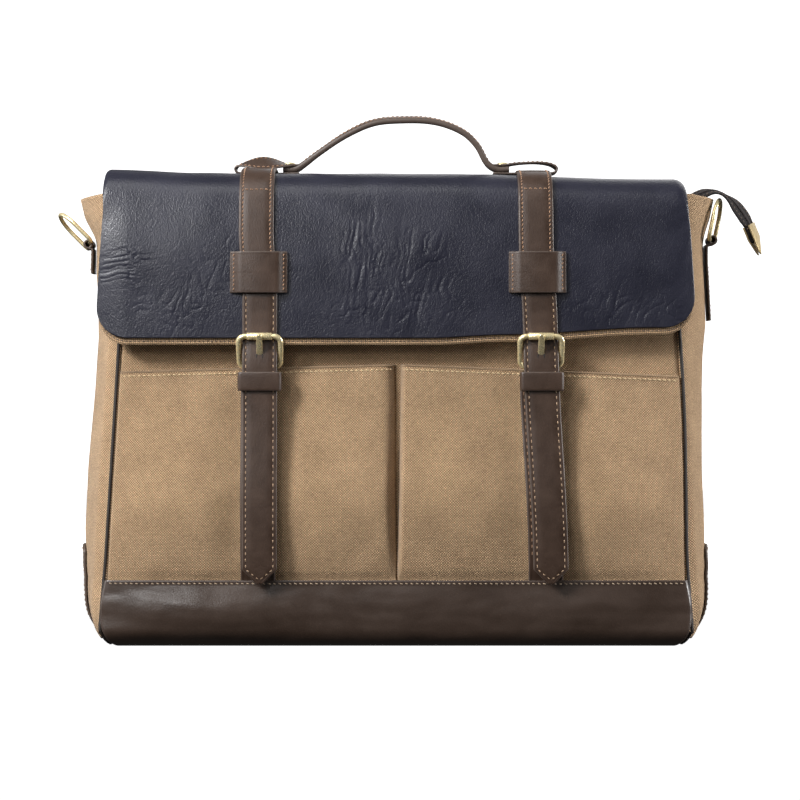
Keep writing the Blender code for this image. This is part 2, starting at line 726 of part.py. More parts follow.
# ---------------------------------------------------------------- zip
def make_zip():
    half_length = 0.1630
    teeth = 0.0012
    reach = ZIP_HINGE_Y - 0.0007
    for name, sign in (("front", -1), ("rear", 1)):
        y = sign * ZIP_HINGE_Y
        low = ZIP_Z - reach
        half = 0.0005
        profile = [(y - half, ZIP_Z), (y - half, low + 2 * teeth), (y - teeth, low + 2 * teeth),
                   (y - teeth, low), (y + teeth, low), (y + teeth, low + 2 * teeth),
                   (y + half, low + 2 * teeth), (y + half, ZIP_Z)]
        strip = outline(f"zip_strip_{name}", [profile], half_length, "YZ", 0.0)
        finish(strip, "zip_tape", (0, y, ZIP_Z))

    x0, x1 = 0.1665, 0.1785
    slider = outline(
        "zip_slider",
        [[(-0.0046, ZIP_Z + 0.0018), (-0.0002, ZIP_Z + 0.0018), (-0.0002, ZIP_Z - 0.0018),
          (-0.0046, ZIP_Z - 0.0018), (-0.0046, ZIP_Z - 0.0030), (0.0046, ZIP_Z - 0.0030),
          (0.0046, ZIP_Z - 0.0018), (0.0002, ZIP_Z - 0.0018), (0.0002, ZIP_Z + 0.0018),
          (0.0046, ZIP_Z + 0.0018), (0.0046, ZIP_Z + 0.0030), (-0.0046, ZIP_Z + 0.0030)]],
        (x1 - x0) / 2, "YZ", (x0 + x1) / 2)
    finish(slider, "antique_brass", ((x0 + x1) / 2, 0, ZIP_Z))
    pull_z = ZIP_Z + 0.0030 + GAP
    block("zip_pull", (x0 - 0.016, -0.0035, pull_z), (x1 - 0.003, 0.0035, pull_z + 0.0016), 0.0005,
          "antique_brass", (x1 - 0.004, 0, pull_z + 0.0008))

    tail = smooth_path(
        [(0.1795, ZIP_Z), (0.1900, 0.3010), (0.2050, 0.3150), (0.2180, 0.3235), (0.2290, 0.3245),
         (0.2385, 0.3190), (0.2470, 0.3075), (0.2535, 0.2960)], 18)

    def surface(u, v):
        place = tail[round(v * 17)]
        return place.x, (u * 2 - 1) * 0.0115, place.y

    sheet("zip_tail", surface, (2, 17), 0.0014, "zip_tape")
    lean = Matrix.Rotation(math.radians(-24), 3, "Y").to_4x4()
    block("zip_end_cap", (0.2544, -0.0130, 0.2765), (0.2604, 0.0130, 0.2950), 0.0012,
          "antique_brass", turn=lean)


def build():
    make_panels()
    make_gussets()
    make_base()
    make_piping()
    make_inside()
    make_pockets()
    make_flap()
    make_straps()
    make_handle()
    make_d_rings()
    make_zip()


clear_scene()
BAG = new_collection("messenger_bag")
CUTTERS = new_collection("cutters")
build()
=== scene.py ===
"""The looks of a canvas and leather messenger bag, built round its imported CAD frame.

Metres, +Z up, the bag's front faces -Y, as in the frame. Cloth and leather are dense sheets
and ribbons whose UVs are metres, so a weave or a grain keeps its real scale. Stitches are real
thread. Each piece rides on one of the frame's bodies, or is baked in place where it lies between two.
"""

import math

import bmesh
import bpy
from mathutils import Matrix, Vector, noise


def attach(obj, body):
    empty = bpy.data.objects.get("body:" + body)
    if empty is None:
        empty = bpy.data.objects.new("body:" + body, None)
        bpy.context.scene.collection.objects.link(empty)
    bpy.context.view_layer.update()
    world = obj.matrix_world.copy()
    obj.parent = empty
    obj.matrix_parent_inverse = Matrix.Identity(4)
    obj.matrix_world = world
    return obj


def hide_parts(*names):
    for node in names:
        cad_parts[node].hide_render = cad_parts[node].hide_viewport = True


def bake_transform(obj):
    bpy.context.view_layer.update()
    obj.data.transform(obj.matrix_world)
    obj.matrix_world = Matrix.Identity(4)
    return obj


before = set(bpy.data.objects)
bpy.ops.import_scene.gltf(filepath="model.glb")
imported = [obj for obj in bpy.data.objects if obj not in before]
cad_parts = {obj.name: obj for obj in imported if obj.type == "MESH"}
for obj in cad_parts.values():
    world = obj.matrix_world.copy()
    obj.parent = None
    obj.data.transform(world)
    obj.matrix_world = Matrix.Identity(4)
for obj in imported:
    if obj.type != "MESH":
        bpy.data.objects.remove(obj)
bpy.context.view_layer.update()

# ---------------------------------------------------------------- the bag's measures
GAP = 0.0004
CANVAS = 0.0014
LEATHER = 0.0016
STRAP = 0.0022
BASE_LEATHER = 0.0022
LINING = 0.0008
FLAP_LINING = 0.0012
KEEPER_LEATHER = 0.0018
HANDLE_STRAP = 0.0042
HANDLE_LOOP = 0.0014
MOUTH_Z = 0.300
BASE_BAND_Z = 0.047
HALF_DEPTH_BASE = 0.0540
HALF_DEPTH_TOP = 0.0370
SEAM_ALLOWANCE = 0.0045     # from the seam to where a gusset starts to swell
STRAP_HALF = 0.01225
STRAP_CROWN = 0.00025       # how much higher a strap is at its middle
STITCH_INSET = 0.0027       # from a strap's edge to its stitches
FLAP_HALF_TOP = 0.2060
FLAP_HALF_HEM = 0.2115
FLAP_CORNER = 0.0230        # radius of the flap's lower corners
CREST_Z = 0.3352
FOLD_HINGE = (-0.0462, 0.3235)
BACK_HINGE = (0.0415, 0.3130)
PIVOT_BAR = Vector((-0.0576, 0.1965))
ROLLER_BAR = Vector((-0.0652, 0.2180))
HOLE_Z = 0.2042
HANDLE_Y = -0.0020
ZIP_Z = 0.2965
ZIP_HINGE_Y = 0.0322
GUSSET_BULGE = {"left": 0.0200, "right": 0.0220}
D_RING_LEAN = {"left": 45.0, "right": 78.0}
D_RING_TWIST = {"left": 15.0, "right": -15.0}
D_RING_Z = {"left": 0.2860, "right": 0.2890}
D_RING_SHIFT = {"left": 0.0005, "right": 0.0045}    # the cloth carries the ring a little further out
D_TAB_LENGTH = {"left": 0.021, "right": 0.058}
SIDES = {"left": -1, "right": 1}
TO_FRONT = (0, -1, 0)

# where cloth or leather bends between two bodies: the bodies, and where the bend starts and ends
FOLD_BEND = ("flap_top", "flap", (0, -0.0360, 0.3325), (0, -0.0545, 0.3080))
BACK_BEND = ("bag", "flap_top", (0, 0.0430, 0.3010), (0, 0.0300, 0.3310))
HANDLE_BEND = ("flap_top", "handle", (0, HANDLE_Y, 0.3400), (0, HANDLE_Y, 0.3520))


# ---------------------------------------------------------------- numbers and paths
def mix(a, b, share):
    return a + (b - a) * share


def clamp(value, low=0.0, high=1.0):
    return max(low, min(high, value))


def ease(value):
    value = clamp(value)
    return value * value * (3 - 2 * value)


def hump(value, middle, half):
    """1 at the middle, falling smoothly to 0 at half away from it."""
    return ease(1 - abs(value - middle) / half)


def cloud(x, y, z=0.0):
    """Smooth noise from -1 to 1."""
    return noise.noise(Vector((x, y, z)))


def running(points):
    """How far along its points each one is."""
    total = [0.0]
    for p, q in zip(points, points[1:]):
        total.append(total[-1] + (q - p).length)
    return total


def path_length(points):
    return running(points)[-1]


def evenly(points, count):
    """Evenly spaced points along a path."""
    lengths = running(points)
    spaced = []
    k = 0
    for step in range(count):
        want = lengths[-1] * step / (count - 1)
        while k < len(points) - 2 and lengths[k + 1] < want:
            k += 1
        share = (want - lengths[k]) / max(1e-9, lengths[k + 1] - lengths[k])
        spaced.append(points[k].lerp(points[k + 1], clamp(share)))
    return spaced


def smooth_path(points, count):
    """Evenly spaced points on a Catmull-Rom curve through the given ones."""
    points = [Vector(p) for p in points]
    ends = [2 * points[0] - points[1], *points, 2 * points[-1] - points[-2]]
    fine = []
    for k in range(len(points) - 1):
        a, b, c, d = ends[k : k + 4]
        for step in range(24):
            t = step / 24
            fine.append(
                0.5 * (2 * b + (c - a) * t + (2 * a - 5 * b + 4 * c - d) * t**2
                       + (3 * b - a - 3 * c + d) * t**3)
            )
    fine.append(points[-1])
    return evenly(fine, count)


def along(points, share):
    """The place on an evenly spaced path at a share of its length, and its direction."""
    last = len(points) - 1
    k = min(int(clamp(share) * last), last - 1)
    return points[k].lerp(points[k + 1], clamp(share) * last - k), points[k + 1] - points[k]


def share_near(points, place):
    nearest = min(range(len(points)), key=lambda k: (points[k] - Vector(place)).length)
    return nearest / (len(points) - 1)


def height_reader(points):
    """A function of z that reads the first coordinate of a path of (value, z)."""
    def read(z):
        for low, high in zip(points, points[1:]):
            if z <= high.y:
                return mix(low.x, high.x, clamp((z - low.y) / (high.y - low.y)))
        return points[-1].x
    return read


def arc(centre, radius, start, end, steps):
    turned = []
    for k in range(steps + 1):
        angle = math.radians(mix(start, end, k / steps))
        turned.append(Vector((centre[0] + radius * math.cos(angle), centre[1] + radius * math.sin(angle))))
    return turned


def round_box(x, low, high, radius, steps):
    """A rectangle's rounded outline; x, low and high are where its corners' centres are."""
    outline = []
    for way, y, start in ((1, high, 0), (-1, high, 90), (-1, low, 180), (1, low, 270)):
        outline += arc((way * x, y), radius, start, start + 90, steps)
    return outline


def upright(path):
    """Each point of a path of (x, z) as (share, point, run, out to the run's left), in space."""
    last = len(path) - 1
    for k, p in enumerate(path):
        run = path[min(k + 1, last)] - path[max(k - 1, 0)]
        yield k / last, p, Vector((run.x, 0, run.y)), Vector((-run.y, 0, run.x)).normalized()


def turning(degrees, axis):
    return Matrix.Rotation(math.radians(degrees), 3, axis)


# ---------------------------------------------------------------- the body's shape
def seam_x(z, side="left"):
    """Half width at the seams. The bag stands a little askew, so the right front seam is further out."""
    askew = 0.0052 * ease((z - 0.03) / 0.16) if side == "right" else 0.0
    if z >= BASE_BAND_Z:
        return mix(0.2050, 0.1910, (z - BASE_BAND_Z) / (MOUTH_Z - BASE_BAND_Z)) + askew
    low = clamp((0.016 - z) / 0.016)
    swell = 0.0035 * math.sin(math.pi * clamp(z / BASE_BAND_Z))
    return 0.2050 + swell - 0.0090 * (1 - math.sqrt(1 - low**2)) + askew


def half_depth(z):
    return mix(HALF_DEPTH_BASE, HALF_DEPTH_TOP, z / MOUTH_Z)


GUSSET_SLACK = {     # how far the cloth hangs inside the full bulge, by height
    "left": [(0.0022, 0.000), (0.0022, 0.021), (0.0048, 0.036), (0.0052, 0.050), (0.0042, 0.065),
             (0.0026, 0.082), (0.0026, 0.123), (0.0036, 0.152), (0.0046, 0.185), (0.0052, 0.218),
             (0.0030, 0.245), (0.0, 0.268), (0.0, 0.320)],
    "right": [(0.0, 0.000), (0.0028, 0.021), (0.0062, 0.036), (0.0078, 0.050), (0.0080, 0.065),
              (0.0070, 0.085), (0.0058, 0.123), (0.0048, 0.152), (0.0030, 0.181), (0.0006, 0.205),
              (-0.0028, 0.228), (-0.0030, 0.290), (-0.0010, 0.320)],
}
gusset_slack = {side: height_reader([Vector(p) for p in points]) for side, points in GUSSET_SLACK.items()}


def gusset_full(side, z):
    """How far the gusset's middle would stand out if it were quite full."""
    top = max(0.0, (z - 0.270) / 0.042)
    low = clamp(1 - (z - 0.006) / 0.050)
    return GUSSET_BULGE[side] * (1 + 0.25 * top**2 - low**1.6)


def gusset_out(side, z, across):
    """How far the gusset's outer face stands from the middle plane; across runs front to back."""
    ear = (0.0065 if side == "left" else 0.0040) * ease((z - 0.286) / 0.022)
    swell = gusset_full(side, z) + ear - gusset_slack[side](z)
    return seam_x(min(z, MOUTH_Z)) + SEAM_ALLOWANCE + swell * math.sin(math.pi * clamp(across)) ** 0.8


pocket_out = height_reader(smooth_path(
    [(0.0536, 0.0485), (0.0562, 0.058), (0.0600, 0.100), (0.0560, 0.135), (0.0524, 0.160),
     (0.0500, 0.196)], 60))
tail_out = height_reader(smooth_path(
    [(0.0655, 0.045), (0.0672, 0.075), (0.0670, 0.110), (0.0645, 0.145), (0.0632, 0.170),
     (0.0632, 0.198), (0.0616, 0.212), (0.0608, 0.222), (0.0602, 0.2465), (0.0602, 0.256)], 90))
FLAP_PATH = smooth_path(
    [(-0.0590, 0.2125), (-0.0577, 0.2475), (-0.0562, 0.280), (-0.0525, 0.306), FOLD_HINGE,
     (-0.0320, 0.3335), (-0.012, CREST_Z), (0.010, CREST_Z), (0.0280, 0.3318), (0.0385, 0.3230),
     BACK_HINGE, (0.0412, 0.295), (0.0428, 0.262)], 500)
FLAP_LENGTH = path_length(FLAP_PATH)
SPLIT_AT = share_near(FLAP_PATH, (0.0130, 0.3351))      # where the front and rear pieces meet


def strap_x(side, z):
    """The middle of a buckled strap; the right one leans outwards lower down."""
    if side == "left":
        return mix(-0.0953, -0.0980, ease((z - 0.245) / 0.05))
    lower = mix(0.1082, 0.1012, ease((z - 0.045) / 0.18))
    return mix(lower, 0.0982, ease((z - 0.215) / 0.075))


def flap_hem(x):
    """Height of the flap leather's lower edge: it rises to the right and round both corners."""
    z = 0.2170 + 0.0024 * ease((x - 0.02) / 0.06) + 0.0050 * ease((x - 0.08) / 0.10)
    past = abs(x) - (FLAP_HALF_HEM - FLAP_CORNER)
    if past > 0:
        z += FLAP_CORNER - math.sqrt(max(0.0, FLAP_CORNER**2 - min(past, FLAP_CORNER) ** 2))
    return z


# ---------------------------------------------------------------- materials
class Graph:
    """Adds nodes to one material, with little writing."""

    def __init__(self, name):
        self.material = bpy.data.materials.new(name)
        self.material.use_nodes = True
        self.nodes = self.material.node_tree.nodes
        self.links = self.material.node_tree.links
        self.shader = self.nodes["Principled BSDF"]
        self.coords = self.nodes.new("ShaderNodeTexCoord")

    def put(self, socket, value):
        if isinstance(value, bpy.types.NodeSocket):
            self.links.new(value, socket)
        elif isinstance(value, tuple) and len(value) == 3 and socket.type == "RGBA":
            socket.default_value = (*value, 1.0)
        else:
            socket.default_value = value

    def fill(self, node, **values):
        for name, value in values.items():
            self.put(node.inputs[name.replace("_", " ")], value)
        return node

    def add(self, kind, **values):
        return self.fill(self.nodes.new("ShaderNode" + kind), **values)

    def shade(self, **values):
        self.fill(self.shader, **values)

    def math(self, operation, a, b=0.0):
        node = self.add("Math")
        node.operation = operation
        self.put(node.inputs[0], a)
        self.put(node.inputs[1], b)
        return node.outputs[0]

    def scaled(self, vector, scale):
        return self.add("Mapping", Vector=vector, Scale=scale).outputs[0]

    def noise(self, vector, scale, detail=2.0, rough=0.5, distort=0.0):
        return self.add("TexNoise", Vector=vector, Scale=scale, Detail=detail, Roughness=rough,
                        Distortion=distort).outputs[0]

    def wandering(self, vector, scale, amount):
        """The vector, moved here and there by smooth noise."""
        node = self.add("VectorMath")
        node.operation = "MULTIPLY_ADD"
        self.put(node.inputs[0], self.add("TexNoise", Vector=vector, Scale=scale).outputs["Color"])
        node.inputs[1].default_value = amount
        self.put(node.inputs[2], vector)
        return node.outputs[0]

    def cells(self, vector, scale, feature="F1"):
        node = self.add("TexVoronoi", Vector=vector, Scale=scale)
        node.feature = feature
        return node.outputs["Distance"]

    def spread(self, value, low, high, to_low=0.0, to_high=1.0):
        return self.add("MapRange", Value=value, From_Min=low, From_Max=high, To_Min=to_low,
                        To_Max=to_high).outputs[0]

    def blend(self, share, a, b, kind="MIX"):
        node = self.add("Mix")
        node.data_type = "RGBA"
        node.blend_type = kind
        for socket, value in ((0, share), (6, a), (7, b)):
            self.put(node.inputs[socket], value)
        return node.outputs[2]

    def bump(self, height, strength, distance, **below):
        return self.add("Bump", Strength=strength, Distance=distance, Height=height, **below).outputs[0]

    def edge(self):
        """The mesh's own edge attribute: 1 on cut edges, 0 elsewhere."""
        node = self.add("Attribute")
        node.attribute_name = "edge"
        return node.outputs["Fac"]


def woven(name, light, dark, pitch, depth, speckle=0.5, sheen=0.15):
    """A plain weave of round threads with slubs; the warp's knuckles stand proud and catch the light. That
    light is painted into the colour, as is shade on the weft's knuckles and in the gaps between the threads.
    """
    g = Graph(name)
    uv = g.coords.outputs["UV"]
    threads = g.add("SeparateXYZ")
    g.put(threads.inputs[0], g.scaled(g.wandering(uv, 170, (pitch * 0.9,) * 3), (math.pi / pitch,) * 3))
    weave = g.math("MULTIPLY", g.math("SINE", threads.outputs[0]), g.math("SINE", threads.outputs[1]))
    height = g.math("POWER", g.math("ABSOLUTE", weave), 0.6)
    warp = g.noise(g.scaled(uv, (800, 260, 1)), 1.0, 3, 0.6)
    weft = g.noise(g.scaled(uv, (260, 800, 1)), 1.0, 3, 0.6)
    yarn = g.blend(g.spread(weave, -0.35, 0.35), warp, weft)
    shade = g.math("ADD", g.math("MULTIPLY", yarn, 0.9), g.math("MULTIPLY", g.noise(uv, 38, 4, 0.6), 0.5))
    colour = g.blend(g.spread(shade, 0.40, 0.98), dark, light)
    # painted light on the weave: the colour is lightened on the warp's knuckles and darkened on the weft's
    # knuckles and in the gaps between threads; the knuckle value also raises the bump
    knuckle_height_and_highlight = g.spread(weave, -0.75, 0.75, 0.36, 1.48)
    gap_shade = g.spread(height, 0.05, 0.70, 0.55, 1.0)
    colour = g.blend(1.0, colour, g.math("MULTIPLY", gap_shade, knuckle_height_and_highlight), "MULTIPLY")
    fleck = g.spread(g.noise(uv, 1500, 2, 0.6), 0.66, 0.74, 0.0, speckle)
    pale = tuple(min(1.0, 1.5 * c + 0.06) for c in light)
    fuzz = g.math("ADD", g.math("MULTIPLY", knuckle_height_and_highlight, height), g.math("MULTIPLY", yarn, 0.4))
    soft = g.bump(g.noise(uv, 60, 3, 0.5), 0.25, 0.0010)
    g.shade(Base_Color=g.blend(fleck, colour, pale), Roughness=g.spread(yarn, 0.3, 0.7, 0.98, 0.82),
            Sheen_Weight=sheen, Sheen_Roughness=0.5, Specular_IOR_Level=0.25,
            Normal=g.bump(fuzz, 0.75, depth, Normal=soft))
    return g.material


def leather(name, base, lit, edge_paint_and_highlight, rough, grain, coat=0.0, cloudy=30.0, veins=0.0):
    """Full-grain leather: pebbled pores, veins, soft mottling, and cut edges in edge paint that is lightened
    as a painted highlight line.
    """
    g = Graph(name)
    uv = g.coords.outputs["UV"]
    mottled = g.noise(uv, cloudy, 5, 0.62, 0.3)
    pores = g.cells(g.scaled(uv, (1, 0.72, 1)), 1000)
    fine = g.noise(uv, 2300, 2, 0.6)
    creased = g.noise(g.scaled(uv, (1, 0.5, 1)), 950, 4, 0.60, 0.4)
    wavy = g.scaled(g.wandering(uv, 120, (0.006, 0.006, 0.0)), (1, 0.6, 1))
    vein = g.spread(g.cells(wavy, 380, "DISTANCE_TO_EDGE"), 0.0, 0.14)
    colour = g.blend(g.spread(mottled, 0.36, 0.68), base, lit)
    colour = g.blend(g.spread(pores, 0.0, 0.35, 0.30, 0.0), colour, tuple(0.4 * c for c in base))
    colour = g.blend(g.spread(creased, 0.55, 0.75, 0.0, 0.35), colour, tuple(1.5 * c for c in lit))
    normal = g.bump(pores, grain, 0.00030)
    for height, strength, distance in ((vein, veins, 0.00035), (creased, grain * 0.55, 0.00035),
                                       (fine, grain * 0.5, 0.0001)):
        normal = g.bump(height, strength, distance, Normal=normal)
    # the cut edges' colour is their edge paint made lighter and greyer, a painted highlight along the rounded
    # edges
    g.shade(Base_Color=g.blend(g.edge(), colour, edge_paint_and_highlight),
            Roughness=g.math("ADD", g.spread(mottled, 0.3, 0.75, rough - 0.07, rough + 0.08),
                             g.spread(fine, 0.3, 0.7, -0.05, 0.05)),
            Specular_IOR_Level=0.5, Coat_Weight=coat, Coat_Roughness=0.32, Normal=normal)
    return g.material


def brass(name, bright, dull, rough):
    """Antique brass, darker and rougher in patches, brushed by handling."""
    g = Graph(name)
    place = g.coords.outputs["Object"]
    patina = g.noise(place, 170, 4, 0.60, 0.4)
    scratch = g.noise(g.scaled(place, (1500, 1500, 300)), 1.0, 2, 0.6)
    g.shade(Base_Color=g.blend(g.spread(patina, 0.50, 0.82), bright, dull),
            Roughness=g.math("ADD", g.spread(patina, 0.3, 0.75, rough, rough + 0.12),
                             g.spread(scratch, 0.3, 0.7, -0.03, 0.05)),
            Metallic=0.68, Normal=g.bump(scratch, 0.06, 0.0001))
    return g.material


def thread(name, colour):
    """Waxed sewing thread with its twist."""
    g = Graph(name)
    twist = g.noise(g.coords.outputs["Object"], 2600, 2, 0.5)
    dark = tuple(0.6 * c for c in colour)
    g.shade(Base_Color=g.blend(g.spread(twist, 0.3, 0.7), dark, colour),
            Roughness=g.spread(twist, 0.3, 0.7, 0.5, 0.75), Sheen_Weight=0.2,
            Normal=g.bump(twist, 0.4, 0.0002))
    return g.material


def board(name):
    g = Graph(name)
    fibre = g.noise(g.coords.outputs["Object"], 400, 4, 0.7)
    g.shade(Base_Color=g.blend(fibre, (0.20, 0.16, 0.12), (0.33, 0.28, 0.22)),
            Roughness=g.spread(fibre, 0.3, 0.7, 0.85, 0.97), Normal=g.bump(fibre, 0.3, 0.0003))
    return g.material


def plain_backdrop(name):
    g = Graph(name)
    faint = g.noise(g.coords.outputs["Object"], 3.0, 2, 0.5)
    g.shade(Base_Color=g.blend(faint, (0.90, 0.90, 0.90), (0.93, 0.93, 0.93)), Roughness=0.9,
            Emission_Color=(1.0, 1.0, 1.0), Emission_Strength=1.05)
    return g.material


CANVAS_CLOTH = woven("canvas_weave", (0.710, 0.480, 0.280), (0.310, 0.195, 0.107), 0.00092, 0.00045)
LINING_CLOTH = woven("lining_weave", (0.33, 0.26, 0.17), (0.20, 0.15, 0.10), 0.0007, 0.0002, 0.1)
TAPE_CLOTH = woven("tape_weave", (0.022, 0.017, 0.017), (0.009, 0.007, 0.007), 0.0009, 0.0003, 0.05, 0.05)
# the third colour of each leather is its cut edges' edge paint, lightened as a painted highlight
NAVY = leather("navy_grain", (0.0074, 0.0078, 0.0178), (0.0130, 0.0132, 0.0265), (0.020, 0.018, 0.022),
               0.37, 0.40, coat=0.18, veins=0.15)
BROWN = leather("brown_grain", (0.034, 0.0172, 0.0098), (0.060, 0.0335, 0.0215), (0.085, 0.062, 0.050),
                0.46, 0.22, cloudy=45.0)
BASE_BROWN = leather("base_grain", (0.032, 0.0185, 0.0122), (0.054, 0.034, 0.0245), (0.060, 0.042, 0.034),
                     0.36, 0.16, coat=0.15, cloudy=18.0)
# near-black piping leather: dark brown piping, darkened further as painted shade of the seam's groove
PIPING_WITH_SEAM_SHADE = leather("piping_grain_with_seam_shade", (0.012, 0.0075, 0.0055), (0.021, 0.0135, 0.0095), (0.03, 0.02, 0.02),
                 0.58, 0.3)
# near-black leather for the strap holes' discs: painted shade standing for the holes
HOLE_SHADE_LEATHER = leather("hole_grain_painted_shade", (0.010, 0.007, 0.006), (0.018, 0.012, 0.010), (0.02, 0.015, 0.012),
                       0.7, 0.2)
BRASS = brass("antique_brass_metal", (1.00, 0.85, 0.50), (0.76, 0.58, 0.28), 0.22)
CAP_BRASS = brass("dull_brass_metal", (0.50, 0.39, 0.21), (0.34, 0.25, 0.12), 0.42)
TAN_THREAD = thread("tan_thread", (0.38, 0.21, 0.115))
CREAM_THREAD = thread("cream_thread", (0.40, 0.29, 0.19))
DARK_THREAD = thread("dark_thread", (0.16, 0.10, 0.07))
TAIL_THREAD = thread("tail_thread", (0.46, 0.30, 0.18))
HEM_THREAD = thread("hem_thread", (0.80, 0.60, 0.34))
BOARD = board("fibre_board")


# ---------------------------------------------------------------- mesh tools
def fix(obj, held, slot, *nodes):
    """Let a piece ride on a body, or bake it in place where it lies between two, and hide the CAD nodes it
    stands for.
    """
    if isinstance(held, str):
        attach(obj, held)
    else:
        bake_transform(obj)
    if nodes:
        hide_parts(*nodes)
    return obj


def object_from(name, bm, material):
    mesh = bpy.data.meshes.new(name)
    bm.normal_update()
    bm.to_mesh(mesh)
    bm.free()
    mesh.shade_smooth()
    mesh.materials.append(material)
    obj = bpy.data.objects.new(name, mesh)
    bpy.context.scene.collection.objects.link(obj)
    return obj


def mark_edges(obj, values):
    attribute = obj.data.attributes.new("edge", "FLOAT", "POINT")
    attribute.data.foreach_set("value", values)


def sheet(name, surface, steps, thick, material, turn=0.0, edges=False):
    """A sheet of cloth or leather round surface(u, v); its UVs are metres along it, turned."""
    bm = bmesh.new()
    layer = bm.loops.layers.uv.new("UVMap")
    bmesh.ops.create_grid(bm, x_segments=steps[0], y_segments=steps[1], size=0.5)
    cos, sin = math.cos(turn), math.sin(turn)
    across = running([Vector(surface(k / steps[0], 0.5)) for k in range(steps[0] + 1)])
    upward = running([Vector(surface(0.5, k / steps[1])) for k in range(steps[1] + 1)])
    for face in bm.faces:
        for loop in face.loops:
            a = across[round((loop.vert.co.x + 0.5) * steps[0])]
            b = upward[round((loop.vert.co.y + 0.5) * steps[1])]
            loop[layer].uv = (a * cos - b * sin, a * sin + b * cos)
    rim = [float(vert.is_boundary) for vert in bm.verts]
    for vert in bm.verts:
        vert.co = Vector(surface(vert.co.x + 0.5, vert.co.y + 0.5))
    obj = object_from(name, bm, material)
    if edges:
        mark_edges(obj, rim)
    solidify = obj.modifiers.new("Thickness", "SOLIDIFY")
    solidify.thickness = thick
    solidify.offset = 0
    return obj


def crown(a, half):
    return STRAP_CROWN * (1 - (a / half) ** 2)


def stitch_line(half):
    """How far a strap's stitches are from its middle."""
    return max(half - STITCH_INSET, half * 0.35)


def strap_section(half, thick, groove):
    """The outline across a strap, as (across, out, edge): crowned, grooved where it's stitched."""
    round_x = thick * 0.42
    flat = half - round_x
    inset = stitch_line(half)

    def cut_edge(side, start):
        angles = [math.radians(start - 30 * k) for k in range(1, 6)]
        return [(side * flat + round_x * math.cos(t), thick / 2 * math.sin(t), 1.0) for t in angles]

    left = [-flat, -inset - 0.0006, -inset, -inset + 0.0006, -inset * 0.5]
    top = []
    for a in (*left, 0.0, *(-a for a in reversed(left))):
        sunk = groove if abs(abs(a) - inset) < 1e-7 else 0.0
        top.append((a, thick / 2 + crown(a, half) - sunk, 0.0))
    return [*top, *cut_edge(1, 90), (flat, -thick / 2, 0.0), (0.0, -thick / 2, 0.0), *cut_edge(-1, -90)]


def ribbon(name, stations, thick, material, groove=0.0002):
    """A closed leather strap through stations of (middle, across, out, half width)."""
    bm = bmesh.new()
    layer = bm.loops.layers.uv.new("UVMap")
    rings, edges = [], []
    for middle, across, out, half in stations:
        section = strap_section(half, thick, groove)
        rings.append([bm.verts.new(middle + across * a + out * b) for a, b, _ in section])
        edges += [e for _, _, e in section]
    run = running([station[0] for station in stations])
    section = strap_section(stations[len(stations) // 2][3], thick, groove)
    around = [0.0]
    for (a, b, _), (c, d, _) in zip(section, section[1:] + section[:1]):
        around.append(around[-1] + math.hypot(c - a, d - b))
    count = len(section)
    for k in range(len(rings) - 1):
        for i in range(count):
            corners = ((k, i), (k + 1, i), (k + 1, i + 1), (k, i + 1))
            face = bm.faces.new([rings[a][b % count] for a, b in corners])
            for loop, (a, b) in zip(face.loops, corners):
                loop[layer].uv = (around[b], run[a])
    bm.faces.new(reversed(rings[-1]))
    bm.faces.new(rings[0])
    obj = object_from(name, bm, material)
    mark_edges(obj, edges)
    return obj


def brown_strap(name, stations, thick, held, *nodes, groove=0.0002):
    return fix(ribbon(name, stations, thick, BROWN, groove), held, "brown_leather", *nodes)


def yz_stations(path, x_at, half):
    """Stations of a strap that follows a path of (y, z), facing the path's left."""
    last = len(path) - 1
    made = []
    for k, p in enumerate(path):
        run = path[min(k + 1, last)] - path[max(k - 1, 0)]
        out = Vector((0, -run.y, run.x)).normalized()
        made.append((Vector((x_at(p.y), p.x, p.y)), Vector((1, 0, 0)), out, half))
    return made


def seam_row(count, low, high, spot, out=TO_FRONT):
    """A row for stitches: spot(value) at even values from low to high, facing out."""
    return [(Vector(spot(mix(low, high, k / (count - 1)))), Vector(out)) for k in range(count)]


def seam_rows(stations, thick):
    """The two stitch lines of a strap, as rows of (place, out)."""
    rows = []
    for side in (-1, 1):
        row = []
        for middle, across, out, half in stations:
            a = stitch_line(half)
            row.append((middle + across * (side * a) + out * (thick / 2 + crown(a, half) - 0.0001), out))
        rows.append(row)
    return rows


# along a stitch: share of its length, share of its radius, rise in radii
STITCH_SHAPE = ((0.0, 0.25, -0.9), (0.12, 0.85, 0.0), (0.5, 1.0, 0.45), (0.88, 0.85, 0.0), (1.0, 0.25, -0.9))


